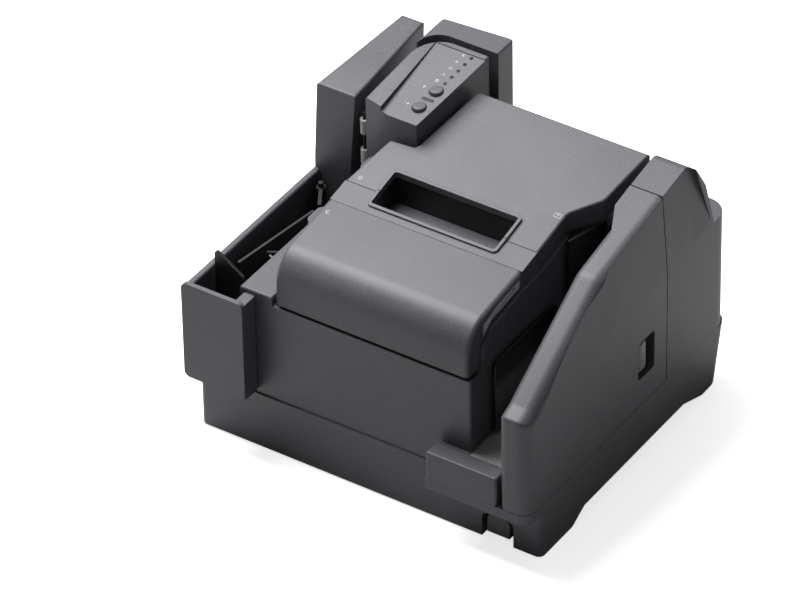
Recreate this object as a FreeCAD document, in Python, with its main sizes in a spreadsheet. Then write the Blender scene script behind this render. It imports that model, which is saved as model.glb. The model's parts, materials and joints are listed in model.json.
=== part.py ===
import FreeCAD, Part

import math
import os

import Sketcher
from FreeCAD import Rotation, Vector

# Driving sizes of the cheque scanner, in millimetres.
# x runs from the centre plane to the right, y from the front plane to the rear, z up from the table.
SIZES = {
    # Whole device
    "width": 230.0,
    "depth": 218.0,
    "seam_height": 39.0,
    "wall": 2.5,
    "gap": 0.3,
    "play": 0.05,
    "overrun": 1.0,
    "edge_round": 1.5,
    # Lower case
    "base_front": 14.0,
    "foot_height": 1.2,
    "rear_lean": 9.0,
    "arch_front": 47.0,
    "arch_ramp": 13.0,
    "arch_rise": 8.0,
    "arch_rear": 187.0,
    "arch_rear_ramp": 20.0,
    "rear_corner": 12.0,
    "front_corner": 4.0,
    "lip_left": 47.0,
    "lip_thick": 6.5,
    "lip_corner": 8.0,
    "base_floor": 2.6,
    "right_block": 22.0,
    "vent_length": 26.0,
    "vent_width": 2.4,
    "vent_pitch": 6.0,
    # Feet and case screws
    "foot_radius": 7.0,
    "foot_inset": 20.0,
    "foot_front_inset": 18.0,
    "foot_rear_inset": 22.0,
    "screw_head_radius": 3.0,
    "screw_head_height": 1.8,
    "screw_radius": 1.4,
    "screw_front": 76.0,
    "screw_rear": 152.0,
    "screw_inset": 12.0,
    # Power switch
    "switch_left": 76.0,
    "switch_width": 20.7,
    "switch_top": 18.3,
    "switch_depth": 8.0,
    "switch_corner": 4.0,
    "button_margin": 3.0,
    "button_bottom": 5.0,
    "button_proud": 5.5,
    "switch_travel": 1.6,
    # Rear connectors
    "bay_left": -72.0,
    "bay_width": 92.0,
    "bay_bottom": 13.0,
    "bay_height": 22.0,
    "bay_plate": 2.0,
    "socket_depth": 9.0,
    "socket_flange": 1.4,
    "inlet_width": 12.0,
    "inlet_height": 12.0,
    "port_width": 11.6,
    "port_height": 10.6,
    "drawer_width": 13.0,
    "drawer_height": 11.5,
    "port_pitch": 22.0,
    "port_corner": 1.0,
    # Steel frame and board
    "sheet": 1.2,
    "frame_left": -70.0,
    "frame_right": 62.0,
    "frame_front": 78.0,
    "frame_rear": 118.0,
    "frame_top": 96.0,
    "board_thick": 1.6,
    "board_lift": 2.4,
    "board_inset": 10.0,
    "stand_radius": 2.5,
    # Centre housing
    "body_left": -85.0,
    "body_right": 68.6,
    "body_front": 15.0,
    "panel_height": 66.0,
    "shoulder_rise": 6.0,
    "shoulder_right": -63.5,
    "body_rear": 126.6,
    "rear_left": -27.0,
    "rear_wall": 180.0,
    "side_wall": 4.4,
    "rear_right": 84.0,
    "flare_front": 118.0,
    "flare_x": 76.6,
    "flare_y": 140.0,
    "flare_rear": 150.0,
    "ledge_step": 28.5,
    "ledge_ramp": 37.4,
    "step_high": 121.8,
    "step_ramp": 129.4,
    "step_rear": 134.4,
    "rise_height": 134.0,
    "rise_front": 109.0,
    # Roll bay
    "bay_side": -39.0,
    "paper_width": 84.0,
    "roll_front": 20.0,
    "roll_rear": 69.0,
    "roll_floor": 60.0,
    "roll_round": 20.0,
    # Roll cover
    "cover_left": -61.8,
    "cover_right": 66.6,
    "cover_bottom": 105.3,
    "cover_rear": 71.5,
    "cover_skin": 2.4,
    "cover_round": 3.0,
    "cover_front": 15.3,
    "cover_front_top": 16.8,
    "cover_nose": 138.0,
    "cover_bow": 20.0,
    "hinge_y": 21.0,
    "hinge_z": 110.5,
    "ear_half": 2.8,
    "ear_reach": 9.0,
    "hinge_groove": 1.3,
    "hinge_pin_radius": 1.5,
    "hinge_pin_length": 5.0,
    "hinge_ear": 2.0,
    "tab_length": 22.0,
    "tab_proud": 2.6,
    "tab_thick": 3.0,
    "tab_height": 142.0,
    # Platen, gears and motor
    "platen_y": 61.0,
    "platen_z": 117.0,
    "platen_radius": 7.6,
    "platen_side_gap": 2.0,
    "shaft_radius": 2.5,
    "arm_thick": 3.0,
    "arm_half": 5.5,
    "gear_thick": 4.5,
    "gear_side": 3.0,
    "gear_module": 0.8,
    "gear_slack": 0.15,
    "gear_lead": 0.5,
    "motor_radius": 9.5,
    "motor_length": 24.0,
    "pinion_bore": 1.6,
    # Print head
    "head_gap": 0.3,
    "head_thick": 2.0,
    "head_low": 105.0,
    "head_high": 127.0,
    "sink_thick": 3.6,
    "spring_radius": 2.6,
    "spring_length": 3.6,
    # Cutter unit
    "cutter_low": 105.0,
    "cutter_high": 131.0,
    "cutter_rear": 108.0,
    "slit_front": 93.5,
    "slit_width": 3.0,
    "blade_thick": 0.8,
    "blade_tooth": 2.0,
    "floor_rib": 1.0,
    "floor_rib_pitch": 4.0,
    # Covers beside the paper slot
    "strip_front": 72.0,
    "strip_rear": 88.0,
    "strip_front_height": 145.0,
    "top_front_height": 148.0,
    "slot_rear": 106.0,
    "slot_front": 76.5,
    "slot_corner": 3.0,
    "bead": 2.0,
    "bead_proud": 1.6,
    "slot_wall": 1.4,
    "slot_fall": 0.8,
    "seam_bevel": 3.2,
    # Top cover
    "top_left_front": -61.3,
    "top_left_rear": -55.2,
    "top_right": 66.4,
    "top_notch_y": 123.6,
    "top_notch_right": -38.4,
    "top_rear_left": -28.4,
    "top_rear": 177.0,
    "top_notch_front": 125.0,
    "top_notch_side": -36.9,
    "top_notch_rear": 128.6,
    "top_flare_front": 120.0,
    "top_flare_x": 80.1,
    "top_flare_y": 137.0,
    "top_rear_right": 84.8,
    "top_skirt": 13.0,
    "top_skin": 2.4,
    "top_pin_y": 167.0,
    "top_pin_z": 158.0,
    "top_hinge_radius": 4.0,
    "top_hinge_inset": 20.0,
    "lever_y": 105.0,
    "lever_length": 11.0,
    # Pocket
    "plate_right": -73.5,
    "plate_thick": 3.0,
    "plate_bottom": 44.5,
    "pocket_top": 111.0,
    "plate_corner": 4.0,
    "pocket_wall": 4.4,
    "pocket_wall_inset": 2.4,
    "pocket_rear": 130.8,
    "pocket_floor": 2.0,
    "column_left": -81.5,
    "column_low": 42.0,
    "column_drop": 3.0,
    "stopper_y": 21.5,
    "stopper_thick": 2.0,
    "stopper_left_top": 124.0,
    "stopper_travel": 14.0,
    "stopper_foot": 10.0,
    "rail_width": 2.0,
    "divider_thick": 1.6,
    "divider_top": 105.0,
    "divider_front_x": -102.4,
    "divider_front_y": 39.0,
    "divider_rear_x": -93.6,
    "divider_rear_y": 102.0,
    "wire_radius": 0.8,
    "wire_tip_x": -96.0,
    "wire_tip_y": 53.4,
    "wire_tip_z": 106.0,
    "wire_arm": 5.0,
    "gate_x": -103.5,
    "gate_y": 124.5,
    "gate_radius": 1.6,
    "gate_hub": 3.0,
    "gate_top": 104.0,
    "gate_low": 60.0,
    "gate_reach": 15.0,
    "gate_thick": 2.2,
    "gate_aside": 9.0,
    # Towers
    "tower_front": 131.0,
    "left_tower_left": -111.6,
    "left_tower_right": -87.0,
    "left_top_left": -108.5,
    "left_top_right": -82.2,
    "left_top_front": 171.0,
    "left_top_rear": 176.0,
    "left_rear_left": -101.0,
    "left_rear_right": -86.0,
    "left_rear_y": 208.0,
    "mid_left": -75.6,
    "mid_step": -58.0,
    "mid_rail": 12.0,
    "rail_front_height": 173.0,
    "rail_rear_height": 184.5,
    "panel_front": 127.4,
    "panel_front_height": 170.0,
    "panel_right_front": -38.9,
    "panel_right_rear": -29.4,
    "panel_step_rear": 186.0,
    "mid_rear": 190.0,
    "mid_curve_left": -71.4,
    "mid_curve_y": 171.0,
    "mid_curve": 20.0,
    "rear_tower_left": -72.6,
    "rear_tower_front": 193.6,
    "rear_tower_curve_y": 179.4,
    "rear_tower_curve": 17.0,
    "rear_tower_right": -26.4,
    "rear_tower_rear": 211.0,
    "rear_tower_left_rear": 207.4,
    # Exit rollers
    "exit_x": -78.9,
    "exit_y": 134.6,
    "exit_radius": 2.8,
    "exit_shaft": 1.2,
    "exit_low": 124.8,
    "exit_mid": 145.6,
    "exit_tall": 9.7,
    "exit_shaft_top": 160.0,
    # Operation panel
    "button_radius": 4.0,
    "button_y_near": 139.8,
    "button_y_far": 154.3,
    "button_x_near": -45.1,
    "button_x_far": -42.9,
    "button_rise": 1.6,
    "button_depth": 4.0,
    "button_travel": 0.8,
    "lens_radius": 1.1,
    "lens_y": 161.4,
    "lens_pitch": 5.7,
    "lens_x": -41.6,
    "lens_drift": 0.8,
    "lens_depth": 3.0,
    "slot_lens_x": -44.0,
    "slot_lens_y": 146.9,
    "slot_lens_length": 8.0,
    "slot_lens_width": 2.0,
    # Feeder
    "tray_left": 47.5,
    "tray_right": 94.4,
    "tray_depth": 10.8,
    "tray_height": 58.4,
    "tray_round": 2.0,
    "track_floor": 56.0,
    "track_right": 94.9,
    "hopper_x": 70.4,
    "hopper_front": 36.0,
    "hopper_rear": 100.0,
    "hopper_top": 107.0,
    "hopper_thick": 1.2,
    "hopper_travel": 14.0,
    "hopper_stem": 2.0,
    "hopper_lift": 1.0,
    "guide_front_x": 72.0,
    "guide_front_y": 111.5,
    "guide_rear_x": 79.6,
    "guide_rear_y": 139.0,
    "guide_top": 143.5,
    "guide_thick": 1.6,
    "feed_x": 83.5,
    "feed_y": 148.0,
    "feed_radius": 4.5,
    "feed_shaft": 1.8,
    "feed_low": 60.0,
    "feed_high": 96.0,
    "feed_lug": 6.0,
    "stem_inset": 10.0,
    "stem_pitch": 24.0,
    # Side cover
    "side_left": 96.0,
    "side_rear": 147.0,
    "side_front_height": 104.0,
    "side_nose": 9.7,
    "side_nose_height": 108.0,
    "side_knee": 80.0,
    "side_knee_height": 152.6,
    "side_rear_height": 166.8,
    "side_jog_y": 131.0,
    "side_jog_x": 90.2,
    "side_jog_ramp": 12.0,
    "side_round": 2.5,
    "side_ramp_height": 128.8,
    "lean": 4.0,
    "ledge_toe": 24.8,
    "crease_front_y": 43.0,
    "crease_front_z": 90.5,
    "crease_mid_y": 98.0,
    "crease_mid_z": 116.0,
    "crease_rear_z": 113.0,
    "pin_x": 101.0,
    "pin_y": 6.0,
    "pin_radius": 2.0,
    "pin_length": 14.0,
    "recess_front": 116.5,
    "recess_rear": 134.0,
    "recess_low": 58.0,
    "recess_high": 84.0,
    "recess_depth": 9.0,
    "release_thick": 3.0,
    "release_length": 12.0,
    "release_pin": 1.4,
    # Rear cover
    "cover_gap": 0.8,
    "rear_cover_left": 90.2,
    "rear_cover_flat": 175.0,
    "rear_cover_top": 172.0,
    "rear_cover_break": 188.0,
    "rear_cover_break_z": 151.0,
    "deck_height": 118.0,
    "deck_front": 195.5,
    "rear_cover_corner": 14.0,
    "crease_back_y": 193.0,
    "crease_back_z": 124.0,
    # Rear deck and document track behind the covers
    "track_width": 5.0,
    "track_curve": 6.0,
    "deck_rear": 217.0,
    # Sensors
    "sensor_height": 104.0,
    "sensor_length": 14.0,
    "sensor_thick": 6.0,
    "head_radius": 8.0,
    # Labels
    "label_thick": 0.2,
}


class Length:
    """A size in millimetres that keeps the expression it comes from."""

    def __init__(self, text, mm):
        self.text = text
        self.mm = mm

    def __add__(self, other):
        other = as_length(other)
        return Length(f"({self.text} + {other.text})", self.mm + other.mm)

    def __radd__(self, other):
        return as_length(other) + self

    def __sub__(self, other):
        other = as_length(other)
        return Length(f"({self.text} - {other.text})", self.mm - other.mm)

    def __rsub__(self, other):
        return as_length(other) - self

    def __mul__(self, share):
        return Length(f"({self.text} * {share!r})", self.mm * share)

    __rmul__ = __mul__

    def __truediv__(self, share):
        return Length(f"({self.text} / {share!r})", self.mm / share)

    def __neg__(self):
        return Length(f"(-{self.text})", -self.mm)


def as_length(value):
    """Turn zero into a Length and leave a Length as it is."""
    return value if isinstance(value, Length) else Length(repr(value), value)


class Sizes:
    """Every cell of the sheet as a Length, by its alias."""

    def __init__(self, table):
        for alias, value in table.items():
            setattr(self, alias, Length(f"Size.{alias}", value))


size = Sizes(SIZES)
half = size.width / 2
doc = FreeCAD.newDocument("ChequeScanner")
sheet = doc.addObject("Spreadsheet::Sheet", "Size")
for row, (alias, value) in enumerate(SIZES.items(), start=1):
    sheet.set(f"A{row}", alias)
    sheet.set(f"B{row}", repr(value))
    sheet.setAlias(f"B{row}", alias)
doc.recompute()

parts = {}
SAME_PLACE = 0.02

# Shares of a length, by what they are used for
ROUND_SHARE = 0.9
BLUNT_SHARE = 0.8
SLOT_END_SHARE = 0.45
HOLE_SHARE = 0.36
PORT_SILL_SHARE = 0.18
POST_FOOT_SHARE = 2.2
POST_WAIST_SHARE = 0.3
LUG_SHARE = 0.85
BOW_END_SHARE = 0.29
EASE_SHARE = 1.5
TAB_SET_SHARE = 0.55
TAB_ROUND_SHARE = 0.18
TOOTH_ROOT_SHARE = 1.1
TOOTH_TIP_SHARE = 0.85
TOOTH_FOOT_SHARE = 0.98
TOOTH_CREST_SHARE = 0.36
TOOTH_SINK_SHARE = 0.97
BRACKET_SHARE = 1.6
FIN_START_SHARE = 0.3
FIN_GAP_SHARE = 0.4
FIN_FOOT_SHARE = 1.2
SPRING_SHARES = (0.25, 0.75)
BLADE_TIP_SHARE = 0.2
BLADE_ROOT_SHARE = 0.6
SEAM_LIP_SHARE = 0.18
SEAM_FOOT_SHARE = 1.12
LEVER_SET_SHARE = 0.6
LEVER_ROUND_SHARE = 0.4
SKIRT_SHARE = 1.1
CROWN_SHARE = 0.6
WINDOW_SET_SHARE = 2.5
LEAN_START_SHARE = 0.05
LEAN_MIDDLE_SHARE = 0.6

PLANES = {"XY": "XY_Plane", "XZ": "XZ_Plane", "YZ": "YZ_Plane"}


# Helpers for sketches and features

def new_body(label, x=0, y=0, z=0, turn=0):
    """Start a sub-part whose own frame stands at (x, y, z), turned about X by an angle in degrees."""
    body = doc.addObject("PartDesign::Body", label)
    body.Label = label
    body.AllowCompound = True
    body.Placement.Rotation = Rotation(Vector(1, 0, 0), turn)
    place = (as_length(x), as_length(y) - size.depth / 2, as_length(z))
    for axis, value in zip("xyz", place):
        body.setExpression(f"Placement.Base.{axis}", value.text)
    parts[label] = body
    return body


def point_rules(geometry, corner, u, v):
    """List the constraints that hold one point at (u, v), each with the expression of its value."""
    rules = []
    for kind, value, axis in (("DistanceX", u, -2), ("DistanceY", v, -1)):
        if abs(value.mm) < 1e-9:
            rules.append((Sketcher.Constraint("PointOnObject", geometry, corner, axis), None))
        else:
            rules.append((Sketcher.Constraint(kind, geometry, corner, value.mm), value.text))
    return rules


def add_rules(sketch, rules):
    """Add constraints to a sketch in one go and bind those that have an expression."""
    first = sketch.ConstraintCount
    sketch.addConstraint([rule for rule, text in rules])
    for index, (rule, text) in enumerate(rules, start=first):
        if text is not None:
            sketch.setExpression(f"Constraints[{index}]", text)


def corner_turn(here, before, after, radius):
    """Work out the arc of a rounded corner: its two ends and its centre."""
    back = (before - here).normalize()
    ahead = (after - here).normalize()
    turn = back.getAngle(ahead) / 2
    reach = radius / math.tan(turn)
    centre = here + (back + ahead).normalize() * (radius / math.sin(turn))
    return here + back * reach, here + ahead * reach, centre


def add_arc(sketch, first, last, centre, radius):
    """Draw the short arc between two points and tell which of its ends, 1 or 2, is the first point."""
    angles = [math.atan2(p.y - centre.y, p.x - centre.x) for p in (first, last)]
    forward = (angles[1] - angles[0]) % (2 * math.pi) < math.pi
    low, high = angles if forward else reversed(angles)
    circle = Part.Circle(centre, Vector(0, 0, 1), radius)
    arc = sketch.addGeometry(Part.ArcOfCircle(circle, low, high), False)
    return arc, (1 if forward else 2)


def add_loop(sketch, corners):
    """Draw a closed outline of straight runs whose corners may have a radius."""
    count = len(corners)
    flat = [Vector(c[0].mm, c[1].mm, 0) for c in corners]
    turns = {}
    for i, corner in enumerate(corners):
        if len(corner) == 3:
            turns[i] = corner_turn(flat[i], flat[i - 1], flat[(i + 1) % count], corner[2].mm)
    lines = []
    for i in range(count):
        ahead = (i + 1) % count
        start = turns[i][1] if i in turns else flat[i]
        end = turns[ahead][0] if ahead in turns else flat[ahead]
        lines.append(sketch.addGeometry(Part.LineSegment(start, end), False))
    rules = []
    for i, corner in enumerate(corners):
        before = lines[i - 1]
        after = lines[i]
        if i not in turns:
            rules.append((Sketcher.Constraint("Coincident", before, 2, after, 1), None))
            rules += point_rules(after, 1, corner[0], corner[1])
            continue
        arc, first = add_arc(sketch, *turns[i], corner[2].mm)
        last = 3 - first
        point = sketch.addGeometry(Part.Point(flat[i]), True)
        rules += point_rules(point, 1, corner[0], corner[1])
        rules.append((Sketcher.Constraint("Tangent", before, 2, arc, first), None))
        rules.append((Sketcher.Constraint("Tangent", arc, last, after, 1), None))
        rules.append((Sketcher.Constraint("PointOnObject", point, 1, before), None))
        rules.append((Sketcher.Constraint("PointOnObject", point, 1, after), None))
        rules.append((Sketcher.Constraint("Radius", arc, corner[2].mm), corner[2].text))
    add_rules(sketch, rules)


def add_circle(sketch, u, v, radius):
    """Draw a circle with a bound centre and radius."""
    circle = Part.Circle(Vector(u.mm, v.mm, 0), Vector(0, 0, 1), radius.mm)
    index = sketch.addGeometry(circle, False)
    rules = point_rules(index, 3, u, v)
    rules.append((Sketcher.Constraint("Radius", index, radius.mm), radius.text))
    add_rules(sketch, rules)


def new_sketch(body, plane, offset, loops):
    """Make a sketch on one of the body's own planes. A loop is a list of corners or one circle."""
    sketch = body.newObject("Sketcher::SketchObject", f"{body.Name}_sketch")
    role = PLANES[plane]
    base = next(f for f in body.Origin.OriginFeatures if f.Role == role)
    sketch.AttachmentSupport = [(base, "")]
    sketch.MapMode = "FlatFace"
    sketch.setExpression("AttachmentOffset.Base.z", as_length(offset).text)
    for loop in loops:
        if isinstance(loop, tuple):
            add_circle(sketch, *[as_length(part) for part in loop])
        else:
            add_loop(sketch, [tuple(as_length(part) for part in corner) for corner in loop])
    return sketch


def pad(body, plane, low, high, *loops):
    """Add material between two planes, low to high along the axis the plane leaves out."""
    offset = -as_length(high) if plane == "XZ" else low
    sketch = new_sketch(body, plane, offset, loops)
    feature = body.newObject("PartDesign::Pad", f"{body.Name}_pad")
    feature.Profile = sketch
    feature.setExpression("Length", (as_length(high) - low).text)
    doc.recompute()
    return feature


def cut(body, plane, low, high, *loops):
    """Take material away between two planes, low to high along the axis the plane leaves out."""
    offset = -as_length(low) if plane == "XZ" else high
    sketch = new_sketch(body, plane, offset, loops)
    feature = body.newObject("PartDesign::Pocket", f"{body.Name}_cut")
    feature.Profile = sketch
    feature.setExpression("Length", (as_length(high) - low).text)
    doc.recompute()
    return feature


def cut_loft(body, sections):
    """Take away the ruled solid that runs through sections given as (y, corners)."""
    sketches = [new_sketch(body, "XZ", -as_length(y), [corners]) for y, corners in sections]
    feature = body.newObject("PartDesign::SubtractiveLoft", f"{body.Name}_cut")
    feature.Profile = sketches[0]
    feature.Sections = sketches[1:]
    feature.Ruled = True
    doc.recompute()
    return feature


def pad_loft(body, plane, sections, ruled=True):
    """Add the solid that runs through sections given as (offset along the normal, corners)."""
    sketches = [new_sketch(body, plane, offset, [corners]) for offset, corners in sections]
    feature = body.newObject("PartDesign::AdditiveLoft", f"{body.Name}_pad")
    feature.Profile = sketches[0]
    feature.Sections = sketches[1:]
    feature.Ruled = ruled
    doc.recompute()
    return feature


def edges_near(body, places):
    """Name the edges of a body that lie nearest to the given places."""
    edges = body.Tip.Shape.Edges
    names = []
    for place in places:
        vertex = Part.Vertex(Vector(*[as_length(part).mm for part in place]))
        distances = [edge.distToShape(vertex)[0] for edge in edges]
        name = f"Edge{distances.index(min(distances)) + 1}"
        if name not in names:
            names.append(name)
    return names


def edges_in(body, axis, value):
    """Name the edges that lie in the plane where one axis has a value."""
    low = axis.upper() + "Min"
    high = axis.upper() + "Max"
    place = as_length(value).mm
    names = []
    for number, edge in enumerate(body.Tip.Shape.Edges, start=1):
        box = edge.BoundBox
        if abs(getattr(box, low) - place) < SAME_PLACE and abs(getattr(box, high) - place) < SAME_PLACE:
            names.append(f"Edge{number}")
    return names


def fillet(body, radius, names):
    """Round the named edges of the body's latest feature."""
    base = body.Tip
    feature = body.newObject("PartDesign::Fillet", f"{body.Name}_fillet")
    feature.Base = (base, names)
    feature.setExpression("Radius", radius.text)
    doc.recompute()
    return feature


def box(x0, x1, y0, y1):
    """Give the four corners of a rectangle."""
    return [(x0, y0), (x1, y0), (x1, y1), (x0, y1)]


def round_box(x0, x1, y0, y1, radius):
    """Give the four corners of a rectangle with one corner radius."""
    return [corner + (radius,) for corner in box(x0, x1, y0, y1)]


def rod(label, axis, low, high, u, v, radius):
    """Make a plain round bar along X, Y or Z."""
    body = new_body(label)
    pad(body, {"x": "YZ", "y": "XZ", "z": "XY"}[axis], low, high, (u, v, radius))
    return body


def slope_cut(body, left, right, front, rear, ceiling):
    """Slope a top: take away what lies above the line from front to rear, given as (y, z)."""
    outline = [front, rear, (rear[0], ceiling), (front[0], ceiling)]
    return cut(body, "YZ", left, right, outline)


def along(start, end, share):
    """Give the place a share of the way from start to end."""
    return tuple(as_length(a) + (as_length(b) - a) * share for a, b in zip(start, end))


def plate_outline(start, end, thick):
    """Give the outline of a thin upright plate whose centre line runs from start to end in plan."""
    run = Vector(end[0].mm - start[0].mm, end[1].mm - start[1].mm, 0).normalize()
    side = (thick * (run.y / 2), thick * (-run.x / 2))
    return [
        (start[0] + side[0], start[1] + side[1]),
        (end[0] + side[0], end[1] + side[1]),
        (end[0] - side[0], end[1] - side[1]),
        (start[0] - side[0], start[1] - side[1]),
    ]


# Heights and places that several pieces share

case_floor = size.arch_rise + size.base_floor
rear_low = size.depth - size.rear_lean
rear_plate = rear_low - size.wall + size.bay_plate
board_top = case_floor + size.board_lift + size.board_thick
panel_top = size.seam_height + size.panel_height
shoulder_top = panel_top + size.shoulder_rise
slot_left = size.bay_side
slot_right = size.bay_side + size.paper_width
inner_right = size.body_right - size.side_wall
gear_left = slot_right + size.arm_thick + size.gear_side
gear_right = gear_left + size.gear_thick
PLATEN_TEETH = 18
DRIVE_TEETH = 30
PINION_TEETH = 12
DRIVE_WAY_SHARES = (0.45, -0.893)
MOTOR_WAY_SHARES = (0.914, -0.406)
drive_reach = size.gear_module * ((PLATEN_TEETH + DRIVE_TEETH) / 2) + size.gear_slack
motor_reach = size.gear_module * ((DRIVE_TEETH + PINION_TEETH) / 2) + size.gear_slack
drive_y = size.platen_y + drive_reach * DRIVE_WAY_SHARES[0]
drive_z = size.platen_z + drive_reach * DRIVE_WAY_SHARES[1]
motor_y = drive_y + motor_reach * MOTOR_WAY_SHARES[0]
motor_z = drive_z + motor_reach * MOTOR_WAY_SHARES[1]

COVER_SLOPE_SHARE = 0.2222


def top_height(y):
    """Give the height of the sloping cover top at a distance from the front."""
    return size.top_front_height + (as_length(y) - size.strip_rear) * COVER_SLOPE_SHARE


# Side wall of the housing under the covers, as (y, z) from front to rear
ledge = [
    (size.ledge_step, size.hinge_z + size.gap),
    (size.ledge_step, size.step_high),
    (size.ledge_ramp, size.step_ramp),
    (size.strip_front, size.step_rear),
    (size.strip_rear, top_height(size.strip_rear) - size.top_skirt - size.gap),
    (size.flare_front, top_height(size.flare_front) - size.top_skirt - size.gap),
]


# Lower case

def lower_case():
    """Shell tray on two feet bands, with an arch below, a front lip, a switch recess and a rear bay."""
    s = size
    body = new_body("lower_case")
    pad(body, "YZ", -half, half, [
        (s.base_front, s.seam_height),
        (s.base_front, s.foot_height),
        (s.arch_front, s.foot_height),
        (s.arch_front + s.arch_ramp, s.arch_rise),
        (s.arch_rear - s.arch_rear_ramp, s.arch_rise),
        (s.arch_rear, s.foot_height),
        (rear_low, s.foot_height),
        (s.depth, s.seam_height),
    ])
    middle = s.seam_height / 2
    rear_middle = s.depth - s.rear_lean / 2
    fillet(body, s.rear_corner, edges_near(body, [(half, rear_middle, middle), (-half, rear_middle, middle)]))
    corners = [(half, s.base_front, middle), (-half, s.base_front, middle)]
    fillet(body, s.front_corner, edges_near(body, corners))
    pad(body, "XY", s.seam_height - s.lip_thick, s.seam_height, [
        (s.lip_left, 0),
        (half, 0, s.lip_corner),
        (half, s.base_front + s.front_corner),
        (s.lip_left, s.base_front + s.front_corner),
    ])
    inner_left = -half + s.wall
    inner_right_end = half - s.right_block
    inner_round = s.rear_corner - s.wall
    cut(body, "XY", case_floor, s.seam_height + s.overrun, round_box(
        inner_left, inner_right_end, s.base_front + s.wall, rear_low - s.wall, inner_round))
    switch_right = s.switch_left + s.switch_width
    recess_rear = s.base_front + s.switch_depth
    pad(body, "XZ", s.base_front + s.wall / 2, recess_rear + s.wall, box(
        s.switch_left - s.wall, switch_right + s.wall, case_floor - s.wall, s.switch_top + s.wall))
    cut(body, "XZ", s.base_front - s.overrun, recess_rear, [
        (s.switch_left, s.foot_height - s.overrun),
        (switch_right, s.foot_height - s.overrun),
        (switch_right, s.switch_top, s.switch_corner),
        (s.switch_left, s.switch_top, s.switch_corner),
    ])
    middle = (s.switch_left + switch_right) / 2
    cut(body, "XZ", recess_rear - s.overrun, recess_rear + s.wall + s.overrun, (
        middle, (s.button_bottom + s.switch_top - s.gap) / 2, s.stand_radius + s.play))
    cut(body, "XZ", rear_plate, s.depth + s.overrun, round_box(
        s.bay_left, s.bay_left + s.bay_width, s.bay_bottom, s.bay_bottom + s.bay_height, s.edge_round))
    cut(body, "XZ", rear_low - s.wall - s.overrun, rear_plate + s.overrun, *[
        box(x - w / 2, x + w / 2, board_top, board_top + h) for x, w, h in sockets()])
    vents = []
    for i in range(-2, 3):
        y = s.depth / 2 + s.vent_pitch * i
        vents.append(round_box(-s.vent_length / 2, s.vent_length / 2, y - s.vent_width / 2,
                               y + s.vent_width / 2, s.vent_width * SLOT_END_SHARE))
    cut(body, "XY", s.arch_rise - s.overrun, case_floor + s.overrun, *vents)
    cut(body, "XY", s.arch_rise - s.overrun, case_floor, *[
        (x, y, s.screw_radius) for x, y in screw_places()])
    return body


def sockets():
    """List the rear sockets as (middle x, width, height)."""
    s = size
    first = s.bay_left + s.port_pitch / 2
    return [
        (first, s.inlet_width, s.inlet_height),
        (first + s.port_pitch, s.port_width, s.port_height),
        (first + s.port_pitch * 2, s.port_width, s.port_height),
        (first + s.port_pitch * 3, s.drawer_width, s.drawer_height),
    ]


def screw_places():
    """List the four case screws as (x, y)."""
    x = half - size.screw_inset
    return [(side * x, y) for side in (-1, 1) for y in (size.screw_front, size.screw_rear)]


def rubber_feet():
    """Four round pads under the two feet bands."""
    body = new_body("rubber_feet")
    x = half - size.foot_inset
    front = size.base_front + size.foot_front_inset
    rear = size.depth - size.foot_rear_inset
    pad(body, "XY", 0, size.foot_height, *[(side * x, y, size.foot_radius) for side in (-1, 1)
                                           for y in (front, rear)])


def case_screws():
    """Pan head screws that come up through the roof of the arch."""
    body = new_body("case_screws")
    s = size
    pad(body, "XY", s.arch_rise - s.screw_head_height, s.arch_rise, *[
        (x, y, s.screw_head_radius) for x, y in screw_places()])
    pad(body, "XY", s.arch_rise, case_floor, *[(x, y, s.screw_radius) for x, y in screw_places()])


def power_button():
    """Push button with a crowned face, in the recess at the front right."""
    s = size
    body = new_body("power_button")
    left = s.switch_left + s.button_margin
    right = s.switch_left + s.switch_width - s.button_margin
    recess_rear = s.base_front + s.switch_depth
    top = s.switch_top - s.gap
    rear = recess_rear - s.switch_travel - s.gap
    pad(body, "XZ", recess_rear - s.button_proud - s.switch_travel, rear, [
        (left, s.button_bottom),
        (right, s.button_bottom),
        (right, top, s.switch_corner),
        (left, top, s.switch_corner),
    ])
    middle = (left + right) / 2
    pad(body, "XZ", rear - s.overrun, recess_rear + s.wall - s.switch_travel - s.gap, (
        middle, (s.button_bottom + top) / 2, s.stand_radius))


def rear_connectors():
    """Power inlet and three ports that look out of the rear bay."""
    s = size
    body = new_body("rear_connectors")
    inner = rear_low - s.wall
    for x, w, h in sockets():
        side = w / 2
        pad(body, "XZ", inner - s.socket_depth, rear_plate, box(x - side, x + side, board_top, board_top + h))
        side = side + s.socket_flange
        high = board_top + h + s.socket_flange
        pad(body, "XZ", inner - s.socket_flange, inner, box(x - side, x + side, board_top, high))
    x, w, h = sockets()[0]
    deep = inner - s.socket_depth / 2
    cut(body, "XZ", deep, rear_plate + s.overrun, (x, board_top + h / 2, h * HOLE_SHARE))
    for x, w, h in sockets()[1:]:
        reach = w * HOLE_SHARE
        sill = h * PORT_SILL_SHARE
        cut(body, "XZ", deep, rear_plate + s.overrun, round_box(
            x - reach, x + reach, board_top + sill, board_top + h - sill, s.port_corner))


def main_board():
    """Circuit board on four posts, with chips and a heat sink."""
    s = size
    body = new_body("main_board")
    left = -half + s.board_inset
    right = half - s.right_block - s.board_inset
    front = s.frame_rear + s.board_inset
    rear = rear_low - s.wall - s.socket_flange
    low = case_floor + s.board_lift
    pad(body, "XY", low, board_top, box(left, right, front, rear))
    posts = [(x, y, s.stand_radius) for x in (left + s.board_inset, right - s.board_inset)
             for y in (front + s.board_inset, rear - s.board_inset)]
    pad(body, "XY", case_floor, low, *posts)
    width = right - left
    length = rear - front
    chips = []
    for x_share, y_share, w_share, d_share in CHIP_SHARES:
        x = left + width * x_share
        y = front + length * y_share
        chips.append(box(x, x + width * w_share, y, y + length * d_share))
    pad(body, "XY", board_top, board_top + s.board_thick, *chips)


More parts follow.
